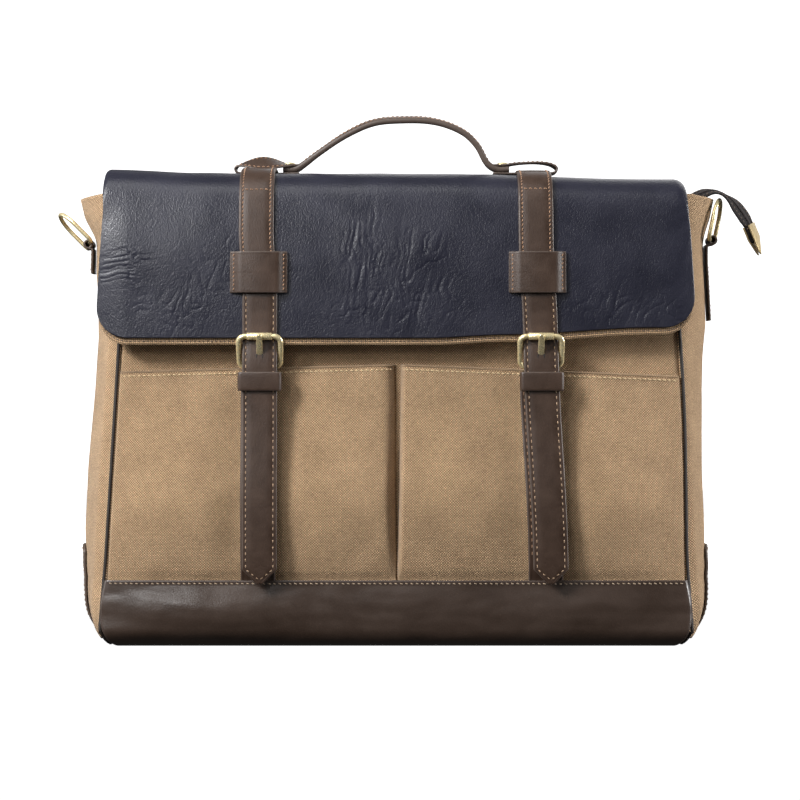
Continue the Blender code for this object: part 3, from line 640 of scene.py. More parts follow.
def sew(name, rows, material, held, slot, pitch=0.0034, share=0.62, radius=0.00042, slant=0.0):
    """Thread along rows of (place, out): each stitch dips into its holes at both ends."""
    bm = bmesh.new()
    sides = 6
    angles = [2 * math.pi * i / sides for i in range(sides)]
    for row in rows:
        places = [p for p, _ in row]
        lengths = running(places)
        count = max(1, round(lengths[-1] / pitch))
        step = lengths[-1] / count
        k = 0
        for n in range(count):
            rings = []
            for t, width, rise in STITCH_SHAPE:
                want = (n + (1 - share) / 2 + share * t) * step
                while k < len(places) - 2 and lengths[k + 1] < want:
                    k += 1
                past = clamp((want - lengths[k]) / max(1e-9, lengths[k + 1] - lengths[k]))
                way = (places[k + 1] - places[k]).normalized()
                out = row[k][1].lerp(row[k + 1][1], past).normalized()
                side = way.cross(out).normalized()
                middle = places[k].lerp(places[k + 1], past) + out * rise * radius
                middle += side * (slant * (t - 0.5))
                rings.append([bm.verts.new(middle + (side * math.cos(a) + out * math.sin(a)) * radius * width)
                              for a in angles])
            for low, high in zip(rings, rings[1:]):
                for i in range(sides):
                    j = (i + 1) % sides
                    bm.faces.new((low[i], high[i], high[j], low[j]))
            bm.faces.new(rings[0])
            bm.faces.new(reversed(rings[-1]))
    bmesh.ops.recalc_face_normals(bm, faces=bm.faces)
    return fix(object_from(name, bm, material), held, slot)


def meshed(name, curve):
    """A curve's own mesh, for wires and plates."""
    guide = bpy.data.objects.new(name + "_guide", curve)
    bpy.context.scene.collection.objects.link(guide)
    bpy.context.view_layer.update()
    mesh = bpy.data.meshes.new_from_object(guide.evaluated_get(bpy.context.evaluated_depsgraph_get()))
    bpy.data.objects.remove(guide)
    bm = bmesh.new()
    bm.from_mesh(mesh)
    bmesh.ops.remove_doubles(bm, verts=bm.verts, dist=1e-6)
    return bm


def wire(name, points, radius, material, closed=False, widths=None, steps=4):
    """A metal wire or a cord along points."""
    curve = bpy.data.curves.new(name, "CURVE")
    curve.dimensions = "3D"
    curve.bevel_depth = radius
    curve.bevel_resolution = steps
    curve.use_fill_caps = not closed
    spline = curve.splines.new("POLY")
    spline.points.add(len(points) - 1)
    for k, (point, place) in enumerate(zip(spline.points, points)):
        point.co = (*place, 1.0)
        point.radius = widths[k] if widths else 1.0
    spline.use_cyclic_u = closed
    spline.use_smooth = True
    return object_from(name, meshed(name, curve), material)


def turned(name, profile, centre, axis, material, steps=32):
    """A turned piece: a profile of (radius, height) spun round an axis through its centre."""
    bm = bmesh.new()
    verts = [bm.verts.new((r, 0, h)) for r, h in profile]
    chain = [bm.edges.new(pair) for pair in zip(verts, verts[1:])]
    bmesh.ops.spin(bm, geom=verts + chain, cent=(0, 0, 0), axis=(0, 0, 1), angle=2 * math.pi, steps=steps)
    bmesh.ops.remove_doubles(bm, verts=bm.verts, dist=1e-6)
    bmesh.ops.recalc_face_normals(bm, faces=bm.faces)
    turn = Vector((0, 0, 1)).rotation_difference(Vector(axis)).to_matrix().to_4x4()
    bmesh.ops.transform(bm, matrix=Matrix.Translation(Vector(centre)) @ turn, verts=bm.verts)
    return object_from(name, bm, material)


def plate(name, outline, depth, place, material, bevel=0.0004, holes=()):
    """A flat plate of an outline of (a, b), thick both ways, put in space by place(a, b, c)."""
    curve = bpy.data.curves.new(name, "CURVE")
    curve.dimensions = "2D"
    curve.fill_mode = "BOTH"
    curve.extrude = depth / 2 - bevel
    curve.bevel_depth = bevel
    curve.bevel_resolution = 2
    curve.offset = -bevel
    for loop in (outline, *holes):
        spline = curve.splines.new("POLY")
        spline.points.add(len(loop) - 1)
        for point, spot in zip(spline.points, loop):
            point.co = (spot[0], spot[1], 0, 1)
        spline.use_cyclic_u = True
    bm = meshed(name, curve)
    for vert in bm.verts:
        vert.co = Vector(place(*vert.co))
    bmesh.ops.recalc_face_normals(bm, faces=bm.faces)
    obj = object_from(name, bm, material)
    obj.data.set_sharp_from_angle(angle=math.radians(40))
    return obj


# ---------------------------------------------------------------- canvas body
def make_panels():
    lower, upper = BASE_BAND_Z - 0.002, MOUTH_Z
    for name, sign in (("front_panel", -1), ("back_panel", 1)):
        def place(u, v):
            z = mix(lower, upper, v)
            t = u * 2 - 1
            edge = seam_x(z, "right" if t > 0 and sign < 0 else "left") - 0.0012
            tucked = 0.0018 * ease((abs(t) - 0.975) / 0.025)
            x, seed = t * 0.2, 2.0 + sign
            waves = 0.0006 * (cloud(x * 14, z * 10, seed) + 0.5 * cloud(x * 34, z * 26, seed + 4))
            y = half_depth(z) - CANVAS / 2 - tucked + waves
            if sign > 0:
                y += 0.0022 * math.sin(math.pi * v) * math.cos(t * math.pi / 2)
            return t * edge, sign * y, z

        panel = sheet(name + "_cloth", place, (150, 90), CANVAS, CANVAS_CLOTH)
        fix(panel, "bag", "canvas", name)
    seam_z = 0.296
    rows = [seam_row(80, -0.188, 0.188, lambda x: (x, sign * half_depth(seam_z), seam_z), (0, sign, 0))
            for sign in (-1, 1)]
    sew("mouth_stitches", rows, TAN_THREAD, "bag", "canvas", 0.0036)


def make_gussets():
    for side, sign in SIDES.items():
        def waves(y, z, across):
            return 0.0011 * cloud(y * 30, z * 16, 5 + sign) * math.sin(math.pi * across)

        def place(u, v):
            top = 0.3225 - 0.0040 * math.sin(math.pi * u) ** 0.8 - 0.0035 * ease((0.12 - u) / 0.12)
            z = mix(0.0060, top, v)
            y = (u * 2 - 1) * (half_depth(min(z, MOUTH_Z)) - 0.0006)
            out = gusset_out(side, z, u) - CANVAS / 2
            near_front = seam_x(min(z, MOUTH_Z), side) - 0.0008
            out = max(out, near_front) if u > 0.02 else near_front
            out = mix(near_front, out, ease(u / 0.06))
            out = mix(seam_x(min(z, MOUTH_Z)) - 0.0008, out, ease((1 - u) / 0.06))
            return sign * (out + waves(y, z, u)), y, z

        cloth = sheet(f"gusset_cloth_{side}", place, (64, 150), CANVAS, CANVAS_CLOTH)
        fix(cloth, "bag", "canvas", f"gusset_{side}")

        def patch(u, v):
            across = mix(0.27, 0.73, u)
            z = mix(0.0085, 0.0695 - 0.004 * abs(u * 2 - 1) ** 6, v)
            y = (across * 2 - 1) * (half_depth(z) - 0.0018)
            return sign * (gusset_out(side, z, across) + waves(y, z, across) + LEATHER), y, z

        cover = sheet(f"gusset_patch_leather_{side}", patch, (36, 40), LEATHER, BROWN, edges=True)
        fix(cover, "bag", "brown_leather", f"gusset_patch_{side}")
        outline = [(0.05, mix(0.12, 0.96, k / 30)) for k in range(31)]
        outline += [(mix(0.05, 0.95, k / 24), 0.96) for k in range(1, 25)]
        outline += [(0.95, mix(0.96, 0.12, k / 30)) for k in range(1, 31)]
        out = Vector((sign, 0, 0))
        row = [(Vector(patch(u, v)) + out * (LEATHER / 2), out) for u, v in outline]
        sew(f"gusset_patch_stitches_{side}", [row], CREAM_THREAD, "bag", "brown_leather", 0.0036)


def make_piping():
    turn, lowest = 0.011, 0.0022
    centre = (turn - HALF_DEPTH_BASE - 0.0008, lowest + turn)
    down = [Vector((0.0010 - half_depth(z), z)) for z in
            (0.299, 0.270, 0.240, 0.210, 0.180, 0.150, 0.120, 0.095, 0.075, 0.060, 0.045)]
    front = down + arc(centre, turn, 180, 270, 12)
    path = front + [Vector((0.0, lowest))] + [Vector((-p.x, p.y)) for p in reversed(front)]
    for side, sign in SIDES.items():
        points = [(sign * (seam_x(z, side if y < 0 else "left") + 0.0003), y, z) for y, z in path]
        # the cord is dark brown leather, darkened further as painted shade of the seam
        cord = wire(f"piping_cord_{side}", smooth_path(points, 220), 0.0013, PIPING_WITH_SEAM_SHADE)
        fix(cord, "bag", "brown_leather", f"piping_{side}")


def base_profile():
    """The base leather's middle line from its front top edge under the bag to its back edge."""
    inner = BASE_LEATHER / 2
    y_wall = HALF_DEPTH_BASE + 0.0030 - inner
    corner = 0.012
    front = [Vector((-y_wall, z)) for z in (BASE_BAND_Z, 0.040, 0.033, 0.026, 0.019)]
    front += arc((-y_wall + corner, inner + corner), corner, 180, 270, 12)
    front += [Vector((y, inner)) for y in (-0.036, -0.027, -0.018, -0.009, 0.0)]
    return smooth_path(front + [Vector((-p.x, p.y)) for p in reversed(front[:-1])], 160)


def make_base():
    profile = base_profile()

    def place(u, v):
        spot, run = along(profile, v)
        t = u * 2 - 1
        side = "right" if t > 0 and spot.x < 0 else "left"
        x = t * (seam_x(spot.y - BASE_LEATHER / 2, side) - 0.0010)
        out = Vector((run.y, -run.x)).normalized()
        wall = ease(abs(spot.x) / 0.05)
        puff = wall * (0.0007 * cloud(x * 12, v * 9, 3.0) + 0.0003 * cloud(x * 60, v * 30, 6.0))
        fuller = 0.0020 + 0.0026 * hump(x, -0.135, 0.085)
        puff += wall * fuller * math.sin(math.pi * clamp((spot.y - 0.004) / 0.040)) ** 1.2
        tuck = 0.0010 * ease((abs(t) - 0.985) / 0.015) + 0.0026 * clamp((abs(t) - 0.65) / 0.35) ** 2
        puff -= wall * tuck * ease((spot.y - 0.008) / 0.016)
        spot = spot + out * puff if spot.y > 0.004 else spot
        return x, spot.x, spot.y

    base = sheet("base_leather", place, (220, 170), BASE_LEATHER, BASE_BROWN, edges=True)
    fix(base, "bag", "brown_leather", "base_panel")
    rows = []
    for v, way in ((0.012, -1), (0.988, 1)):
        face = Vector((0, way * BASE_LEATHER / 2, 0))
        rows.append(seam_row(140, 0.006, 0.994, lambda u: Vector(place(u, v)) + face, (0, way, 0)))
    sew("base_stitches", rows, CREAM_THREAD, "bag", "brown_leather", 0.0037, 0.6, 0.0005, 0.0007)


def pocket_top(x):
    """Height of the pockets' hems: highest at the middle of the bag."""
    return mix(0.1981, 0.1932, clamp(-x / 0.193)) if x < 0 else mix(0.1983, 0.1900, clamp(x / 0.200))


def pocket_place(side, sign, u, v):
    """A front pocket's canvas; u runs from the middle of the bag to the seam, v up to the hem."""
    inner = mix(0.0000, 0.0014, v) if side == "left" else mix(0.0014, 0.0042, v)
    z_mid = mix(0.0450, 0.1955, v)
    u_even = mix(u * u, u, 0.55)
    x = mix(inner, seam_x(z_mid, side) - 0.0022, u_even)
    z = mix(0.0450, pocket_top(sign * x), v)
    panel = half_depth(z) + GAP + CANVAS / 2
    full = pocket_out(z) - CANVAS / 2 - 0.0002
    width = 0.0120 if side == "left" else 0.0036
    rise = 1 - (1 - clamp((x - inner) / width)) ** 2.4
    outer = math.sin(math.pi / 2 * clamp((1 - u_even) / 0.35)) ** 0.8
    y = mix(panel, full, rise * outer)
    loose = math.sin(math.pi * clamp(v * 0.9 + 0.05)) ** 0.7
    strap_u = (abs(strap_x(side, z)) - inner) / (seam_x(z, side) - inner)
    from_strap = ease((abs(u_even - strap_u) - 0.080) / 0.12)
    y += loose * from_strap * 0.0040 * rise * outer * (0.45 + 0.55 * math.sin(math.pi * u_even))
    folds = 0.0009 * cloud(x * 26, z * 12, 9 + sign) + 0.0006 * cloud(x * 60 + z * 40, z * 20, 2 + sign)
    y += folds * rise * outer * (0.3 + 0.7 * from_strap)
    return Vector((sign * x, -y, z))


def make_pockets():
    for side, sign in SIDES.items():
        def place(u, v):
            return pocket_place(side, sign, u, v)

        cloth = sheet(f"front_pocket_cloth_{side}", place, (170, 110), CANVAS, CANVAS_CLOTH)
        fix(cloth, "bag", "canvas", f"front_pocket_{side}")
        hem = [place(k / 159, 0.998) for k in range(160)]
        roll = fix(wire(f"pocket_hem_roll_{side}", hem, 0.0011, CANVAS_CLOTH), "bag", "canvas")
        before = Vector((0, -CANVAS / 2 - 0.0002, 0))
        row = seam_row(160, 0.006, 0.994, lambda u: place(u, 0.980) + before)
        seam = sew(f"pocket_stitches_{side}", [row], HEM_THREAD, "bag", "canvas",
                   0.0036, 0.66, 0.00048, 0.0006)


# ---------------------------------------------------------------- flap
CREASES = (     # middle x and z, half sizes, fineness across and up, depth
    (-0.022, 0.268, 0.026, 0.055, 210, 42, 0.00050),
    (0.018, 0.262, 0.030, 0.048, 170, 34, 0.00050),
    (-0.005, 0.238, 0.065, 0.026, 190, 95, 0.00035),
    (-0.190, 0.266, 0.024, 0.022, 50, 330, 0.00045),
    (-0.165, 0.236, 0.045, 0.026, 170, 120, 0.00030),
    (0.150, 0.240, 0.036, 0.026, 170, 90, 0.00040),
    (0.185, 0.236, 0.024, 0.020, 120, 150, 0.00030),
    (-0.120, 0.262, 0.050, 0.045, 150, 120, 0.00022),
)


def leather_relief(x, z, front):
    """How far the flap's leather stands from its smooth form, creases included."""
    rise = 0.0008 * cloud(x * 11, z * 9, 1.3) + 0.00035 * cloud(x * 40, z * 30, 5.1)
    if not front:
        return rise
    for middle, height, half_x, half_z, fine_x, fine_z, depth in CREASES:
        here = ease(1.15 - math.hypot((x - middle) / half_x, (z - height) / half_z))
        if here <= 0:
            continue
        drift = 1.1 * cloud(x * 60, z * 60, middle * 9)
        patchy = 0.35 + 0.9 * ease(0.5 + cloud(x * 90, z * 70, middle * 3))
        ridge = 1 - abs(cloud(x * fine_x + drift, z * fine_z + drift, middle * 5 + 2))
        rise -= here * patchy * depth * (ridge**9 - 0.30)
    return rise


def crest_lean(x, z):
    """The flap's top isn't level: its left end lifts and its right end droops and is rounded."""
    lean = 0.0030 * ease((-x - 0.135) / 0.070) - 0.0042 * ease((x - 0.010) / 0.190)
    start, radius = (0.1975, 0.0080) if x > 0 else (0.2026, 0.0034)
    past = clamp((abs(x) - start) / radius)
    lean -= radius * (1 - math.sqrt(1 - past**2))
    return lean * ease((z - 0.292) / 0.036)


def flap_half(share):
    """Half the flap's width at a share of its path: widest at the hem."""
    return mix(FLAP_HALF_HEM, FLAP_HALF_TOP, clamp(share / 0.36))


def flap_spot(x, share, lift, dip=0.0):
    """A place on the flap; its front leather rolls back a little at both ends."""
    spot, run = along(FLAP_PATH, share)
    out = Vector((-run.y, run.x)).normalized()
    front = spot.x < -0.03
    relief = leather_relief(x, spot.y, front)
    if front:
        rolled = (0.0036 if x < 0 else 0.0022) * clamp((abs(x) - 0.187) / 0.024) ** 2
        relief -= rolled * ease((0.318 - spot.y) / 0.02)
    leaned = crest_lean(x, spot.y)
    spot = spot + out * (lift + relief - dip)
    return Vector((x, spot.x, spot.y + leaned))


def wide(u):
    """Columns closer together near both sides, for round corners."""
    return math.sin(0.75 * math.pi / 2 * (u * 2 - 1)) / math.sin(0.75 * math.pi / 2)


def flap_front_place(u, v, lift=0.0, drop=0.0, inset=0.0):
    t = wide(u)
    guess = t * (FLAP_HALF_HEM - inset)
    start = (flap_hem(guess * FLAP_HALF_HEM / (FLAP_HALF_HEM - inset)) - drop - FLAP_PATH[0].y) / FLAP_LENGTH
    share = mix(start, SPLIT_AT, v)
    return flap_spot(t * (flap_half(share) - inset), share, lift)


def flap_rear_place(u, v, lift=0.0, inset=0.0):
    share = mix(SPLIT_AT - 0.004 / FLAP_LENGTH, 1.0, v)
    half = mix(flap_half(share), 0.186, ease((share - 0.80) / 0.12))
    dip = 0.0004 * ease(1 - v / 0.04)
    return flap_spot((u * 2 - 1) * (half - inset), share, lift, dip)


def make_flap():
    under = -(LEATHER + LINING) / 2 - GAP - 0.0002
    inset = 0.0012
    front = sheet("flap_leather_front", flap_front_place, (600, 250), LEATHER, NAVY, edges=True)
    fix(front, FOLD_BEND, "navy_leather", "flap_front", "flap_crest")
    rear = sheet("flap_leather_rear", flap_rear_place, (260, 70), LEATHER, NAVY, edges=True)
    fix(rear, BACK_BEND, "navy_leather", "flap_back")

    lining = sheet("flap_lining_front", lambda u, v: flap_front_place(u, v, under, 0.0048, inset),
                   (200, 100), FLAP_LINING, CANVAS_CLOTH, math.radians(45))
    fix(lining, FOLD_BEND, "lining_cloth", "flap_lining", "crest_lining")
    lining_back = sheet("flap_lining_rear", lambda u, v: flap_rear_place(u, mix(0.0, 0.42, v), under, inset),
                        (120, 30), FLAP_LINING, CANVAS_CLOTH, math.radians(45))
    fix(lining_back, BACK_BEND, "lining_cloth")

    before, behind = Vector((0, -0.0007, 0)), Vector((0, LEATHER / 2, 0))
    row = seam_row(200, 0.02, 0.98, lambda u: flap_front_place(u, 0.0, under, 0.0022, inset) + before)
    sew("flap_hem_stitches", [row], DARK_THREAD, FOLD_BEND, "lining_cloth", 0.0030, 0.6, 0.00035)
    row = seam_row(120, 0.03, 0.97, lambda u: flap_rear_place(u, 0.93) + behind, (0, 1, 0))
    sew("flap_back_stitches", [row], TAN_THREAD, "bag", "navy_leather", 0.0036)


def over_strap_path(low, high, count, x):
    """The line of the vertical straps over the flap, which rises over the handle's loops."""
    path = []
    over = (LEATHER + STRAP) / 2 + GAP + 0.0003
    for k in range(count):
        spot, run = along(FLAP_PATH, mix(low, high, k / (count - 1)))
        out = Vector((-run.y, run.x)).normalized()
        near = clamp((abs(spot.x - HANDLE_Y) - 0.011) / 0.012)
        rise = 0.0016 * (0.5 + 0.5 * math.cos(math.pi * near)) + crest_lean(x, spot.y)
        path.append(spot + out * over + Vector((0, rise)))
    return path


def make_flap_straps():
    start = share_near(FLAP_PATH, (-0.0570, 0.2600))
    rear_start = SPLIT_AT - 0.003 / FLAP_LENGTH
    for side, sign in SIDES.items():
        def stations(low, high, count):
            return yz_stations(over_strap_path(low, high, count, sign * 0.098), lambda z: strap_x(side, z),
                               STRAP_HALF)

        def seam(end, rows, zone):
            sew(f"flap_strap_stitches_{end}_{side}", rows, TAN_THREAD, zone, "brown_leather",
                0.0032, 0.72, 0.00045, 0.0006)

        front = stations(start, SPLIT_AT, 110)
        brown_strap(f"flap_strap_front_{side}", front, STRAP, FOLD_BEND,
                    f"strap_front_{side}", f"strap_crest_{side}")
        rear = stations(rear_start, 1.0, 60)
        for middle, *_ in rear[:4]:
            middle.z -= 0.00025
        brown_strap(f"flap_strap_rear_{side}", rear, STRAP, BACK_BEND, f"strap_back_{side}")
        # a line of stitches across the strap, at the front of the crest
        spot, across, out, _ = min(front, key=lambda s: abs(s[0].z - 0.3215) + (10 if s[0].y > -0.03 else 0))
        reach = STRAP_HALF - 0.0035
        cross = seam_row(8, -reach, reach, lambda a: spot + across * a + out * (STRAP / 2 + 0.0002), out)
        seam("front", seam_rows(front[8:], STRAP) + [cross], FOLD_BEND)
        seam("rear", seam_rows(rear[4:-2], STRAP), BACK_BEND)


def make_keepers():
    """The wide leather patches sewn over each strap, sewn down at both sides."""
    half, low, high = 0.0200, 0.2486, 0.2776

    def keeper_y(a, z):
        """The patch's middle: flat on the flap at its sides, over the strap between."""
        on_path = share_near(FLAP_PATH[::5], (-0.057, z))
        near_flap = along(FLAP_PATH, on_path)[0].x - LEATHER / 2 - STRAP / 2 - GAP
        over = near_flap - STRAP - 0.0010
        rounded = 0.0007 * math.cos(math.pi / 2 * clamp(a / 0.0125, -1, 1))
        return mix(near_flap, over, ease((0.0192 - abs(a)) / 0.0074)) - rounded

    for side in SIDES:
        x = strap_x(side, 0.264)

        def place(u, v):
            a = (u * 2 - 1) * half
            z = mix(low, high, v)
            return x + a, keeper_y(a, z) - 0.0003 * math.sin(math.pi * u) ** 0.5, z

        patch = sheet(f"wide_keeper_leather_{side}", place, (64, 24), KEEPER_LEATHER, BROWN, edges=True)
        bevel = patch.modifiers.new("Edge", "BEVEL")
        bevel.width = 0.0004
        bevel.segments = 2
        bevel.angle_limit = math.radians(50)
        fix(patch, "flap", "brown_leather", f"wide_keeper_{side}")
        rows = [seam_row(10, low + 0.0012, high - 0.0012, lambda z: (x + a, keeper_y(a, z) - 0.0010, z))
                for a in (-half + 0.0026, half - 0.0026)]
        sew(f"wide_keeper_stitches_{side}", rows, TAN_THREAD, "flap", "brown_leather",
            0.0031, 0.72, 0.00048, 0.0007)


# ---------------------------------------------------------------- buckled straps
def make_anchors():
    path = []
    for k in range(61):
        z = mix(0.0455, 0.1850, k / 60)
        path.append(Vector((-pocket_out(z) - GAP - STRAP / 2 - 0.0004, z)))
    for side in SIDES:
        lean = 0.0016 if side == "left" else 0.0030
        stations = yz_stations(path, lambda z: strap_x(side, z) - lean, STRAP_HALF)
        brown_strap(f"anchor_strap_leather_{side}", stations, STRAP, "bag", f"anchor_strap_{side}")
        sew(f"anchor_stitches_{side}", seam_rows(stations[8:], STRAP), TAN_THREAD, "bag", "brown_leather",
            0.0047, 0.55, 0.00036)


def tail_stations(side):
    """A buckled strap from its pointed tip up to where it's sewn under the wide keeper."""
    tip, shoulder, top = 0.0448, 0.0555, 0.2560
    heights = [tip, 0.0462, 0.0480, 0.0500, 0.0520, 0.0540] + [mix(shoulder, top, k / 90) for k in range(91)]
    path = [Vector((-tail_out(z), z)) for z in heights]
    shaped = []
    for middle, across, out, half in yz_stations(path, lambda z: strap_x(side, z), STRAP_HALF):
        width = half * clamp(mix(0.16, 1.0, (middle.z - tip) / (shoulder - tip)))
        thin_top = 0.0009 * ease((middle.z - 0.247) / 0.004)
        shaped.append((middle + Vector((0, thin_top, 0)), across, out, width))
    return shaped


def make_tails():
    hole_shade_shape = [(0.0, -0.0002), (0.0016, -0.0001), (0.0021, 0.0002), (0.0026, 0.00015), (0.0028, -0.0003)]
    for side in SIDES:
        zone = ("flap", f"strap_{side}", (0, -0.0600, 0.2510), (0, -0.0600, 0.2460))
        stations = tail_stations(side)
        brown_strap(f"tail_strap_leather_{side}", stations, STRAP, zone, f"tail_strap_{side}")
        corner, _, out, _ = stations[6]
        point = []
        for t in (-1.0, -0.5, 0.0, 0.5, 1.0):
            z = corner.z - 0.0075 * (1 - abs(t))
            x = corner.x + t * (STRAP_HALF - STITCH_INSET)
            point.append((Vector((x, -tail_out(z) - STRAP / 2, z)), out))
        sew(f"tail_stitches_{side}", seam_rows(stations[6:-4], STRAP) + [point], TAIL_THREAD, zone,
            "brown_leather", 0.0044, 0.56, 0.00038)
        # the strap's hole is a near-black disc laid on the strap's face, painted shade standing for the hole;
        # no opening is cut
        spot = (strap_x(side, HOLE_Z), -tail_out(HOLE_Z) - STRAP / 2 - 0.0002, HOLE_Z)
        rim = turned(f"strap_hole_shade_disc_{side}_0", hole_shade_shape, spot, TO_FRONT, HOLE_SHADE_LEATHER, 20)
        fix(rim, f"strap_{side}", "brown_leather")


def in_buckle(x, a, b):
    """A place on the buckle's plane: a across from its middle, b up from the pivot bar."""
    up = (ROLLER_BAR - PIVOT_BAR).normalized()
    return Vector((x + a, PIVOT_BAR.x + up.x * b, PIVOT_BAR.y + up.y * b))


def make_buckles():
    rise = (ROLLER_BAR - PIVOT_BAR).length
    half, corner = 0.0147, 0.0046
    flat = round_box(half - corner, corner, rise - corner, corner, 8)
    tube = [(0.00212, -0.0088), (0.0024, -0.0088), (0.0026, -0.0086), (0.0026, 0.0086), (0.0024, 0.0088),
            (0.00212, 0.0088), (0.00212, -0.0088)]
    eye_shape = [(0.0021, -0.0021), (0.0034, -0.0020), (0.0036, -0.0012), (0.0036, 0.0012),
                 (0.0034, 0.0020), (0.0021, 0.0021), (0.0021, -0.0021)]
    reach = Vector((ROLLER_BAR.x - 0.0052, ROLLER_BAR.y + 0.0010)) - PIVOT_BAR
    lean = reach.normalized()
    side_way = Vector((-lean.y, lean.x))
    shank = reach.length
    outline = [Vector(p) for p in ((-0.0021, 0.0), (-0.0021, shank - 0.006), (-0.0019, shank - 0.0012))]
    outline += [*arc((0, shank - 0.0012), 0.0019, 180, 0, 8), Vector((0.0021, shank - 0.006)),
                Vector((0.0021, 0.0))]
    for side in SIDES:
        x = strap_x(side, 0.207)
        points, widths = [], []
        for p, q in zip(flat, flat[1:] + flat[:1]):
            pieces = 6 if (q - p).length > 0.003 else 1
            for n in range(pieces):
                spot = p.lerp(q, n / pieces)
                points.append(in_buckle(x, spot.x, spot.y))
                on_top = ease(spot.y / rise) * (0.55 + 0.45 * ease((abs(spot.x) - 0.009) / 0.003))
                widths.append(mix(0.86, 1.14, on_top))
        frame_wire = wire(f"buckle_wire_{side}", points, 0.0018, BRASS, True, widths, 6)
        fix(frame_wire, f"strap_{side}", "antique_brass", f"buckle_frame_{side}")
        roller = turned(f"roller_tube_{side}", tube, (x, *ROLLER_BAR), (1, 0, 0), BRASS)
        fix(roller, f"roller_{side}", "antique_brass", f"buckle_roller_{side}")

        def prong_place(a, b, c):
            spot = PIVOT_BAR + lean * b + side_way * (c + 0.0004 * ease((b - 0.015) / 0.006))
            return x + a, spot.x, spot.y

        prong = plate(f"prong_pin_{side}", outline, 0.0020, prong_place, BRASS, 0.0005)
        fix(prong, f"prong_{side}", "antique_brass", f"buckle_prong_{side}")
        eye = turned(f"prong_eye_{side}", eye_shape, (x, *PIVOT_BAR), (1, 0, 0), BRASS, 24)
        fix(eye, f"prong_{side}", "antique_brass")


def make_tabs():
    """The folded leather tab that holds each buckle's pivot bar."""
    eye = 0.0030
    path = arc(PIVOT_BAR, eye, -120, 180, 20)
    path += [Vector((PIVOT_BAR.x - eye, z)) for z in (0.1900, 0.1700, 0.1490)]
    path = evenly(path, 50)[::-1]
    for side in SIDES:
        x = strap_x(side, 0.175)
        brown_strap(f"buckle_tab_leather_{side}", yz_stations(path, lambda z: x, 0.0098), 0.0015,
                    f"strap_{side}", f"buckle_tab_{side}")


def make_loops():
    """The small leather loop that keeps each strap's tail."""
    low, high = 0.1799, 0.1932
    half, inset = 0.0140, 0.0006
    y_back = PIVOT_BAR.x - 0.0022 + inset
    y_front = -tail_out(0.185) - STRAP / 2 - inset
    outline = round_box(half - 0.0014, y_front + inset, y_back - inset, 0.0018, 6)
    count = len(outline)
    for side in SIDES:
        x = strap_x(side, 0.186)
        stations = []
        for k in range(count + 1):
            p = outline[k % count]
            run = outline[(k + 1) % count] - outline[k - 1]
            out = Vector((run.y, -run.x, 0)).normalized()
            spot = Vector((x + p.x, p.y, (low + high) / 2))
            stations.append((spot, Vector((0, 0, 1)), out, (high - low) / 2))
        brown_strap(f"keeper_loop_leather_{side}", stations, 0.0016, f"loop_{side}", f"keeper_loop_{side}",
                    groove=0.0)


# ---------------------------------------------------------------- handle
def make_handle():
    arch = smooth_path(
        [(-0.0815, 0.3400), (-0.0730, 0.3402), (-0.0665, 0.3440), (-0.0540, 0.3535), (-0.0360, 0.3655),
         (-0.0150, 0.3745), (0.0080, 0.3762), (0.0300, 0.3745), (0.0480, 0.3675), (0.0585, 0.3575),
         (0.0655, 0.3450), (0.0730, 0.3402), (0.0815, 0.3400)], 150)
    stations = []
    for share, p, run, out in upright(arch):
        middle = math.sin(math.pi * share)
        twist = turning(10 * middle, run)
        wave = 0.0006 * cloud(p.x * 30, 0.0, 3.0) * middle
        stations.append((Vector((p.x, HANDLE_Y, p.y + wave)), twist @ Vector(TO_FRONT), twist @ out,
                         0.0098 + 0.0010 * middle))
    brown_strap("handle_strap_leather", stations, HANDLE_STRAP, HANDLE_BEND, "handle_arch", groove=0.0003)
    sew("handle_stitches", seam_rows(stations[14:-14], HANDLE_STRAP), TAN_THREAD, HANDLE_BEND,
        "brown_leather", 0.0034, 0.7, 0.00045)
    for side, sign in SIDES.items():
        make_handle_loop(side, sign)


def make_handle_loop(side, sign):
    """The folded strap that holds one end of the handle, with its rivet; the left one leans forwards."""
    upper, lower = 0.3432, CREST_Z + LEATHER / 2 + GAP + 0.0004
    swell, lean, slide = (0.0004, 32, 1.0) if side == "left" else (0.0012, 3, 0.0)
    path = [(0.0700, upper - 0.0004), (0.0780, upper - 0.0002), (0.0870, upper + swell),
            (0.1000, upper + 1.6 * swell), (0.1090, upper + swell), (0.1140, upper - 0.0006),
            (0.1160, (upper + lower) / 2 + 0.0004), (0.1140, lower + 0.0008), (0.1060, lower),
            (0.0920, lower), (0.0800, lower), (0.0700, lower + 0.0002)]
    stations = []
    for along_path, p, _, out in upright(smooth_path([(sign * a, b) for a, b in path], 110)):
        share = hump(along_path, 0.27, 0.27)
        twist = turning(lean * share, Vector((1, 0, 0)))
        shift = Vector((0, -0.0075, 0.0004)) * (share * slide)
        stations.append((Vector((p.x, HANDLE_Y, p.y)) + shift, twist @ Vector((0, -sign, 0)),
                         twist @ (out * sign), 0.0098))
    brown_strap(f"handle_loop_leather_{side}", stations, HANDLE_LOOP, "flap_top", f"handle_loop_{side}")
    sew(f"handle_loop_stitches_{side}", seam_rows(stations[12:54], HANDLE_LOOP), TAN_THREAD, "flap_top",
        "brown_leather")
    cap = [(0.0, 0.0016), (0.0014, 0.00155), (0.0028, 0.0013), (0.0038, 0.0008), (0.0043, 0.0003),
           (0.0043, 0.0), (0.0036, -0.0004), (0.0, -0.0004)]
    rivet = turned(f"rivet_cap_{side}", cap, (sign * 0.0770, HANDLE_Y, upper + 0.0008), (0, 0, 1), BRASS)
    fix(rivet, "flap_top", "antique_brass", f"handle_rivet_{side}")


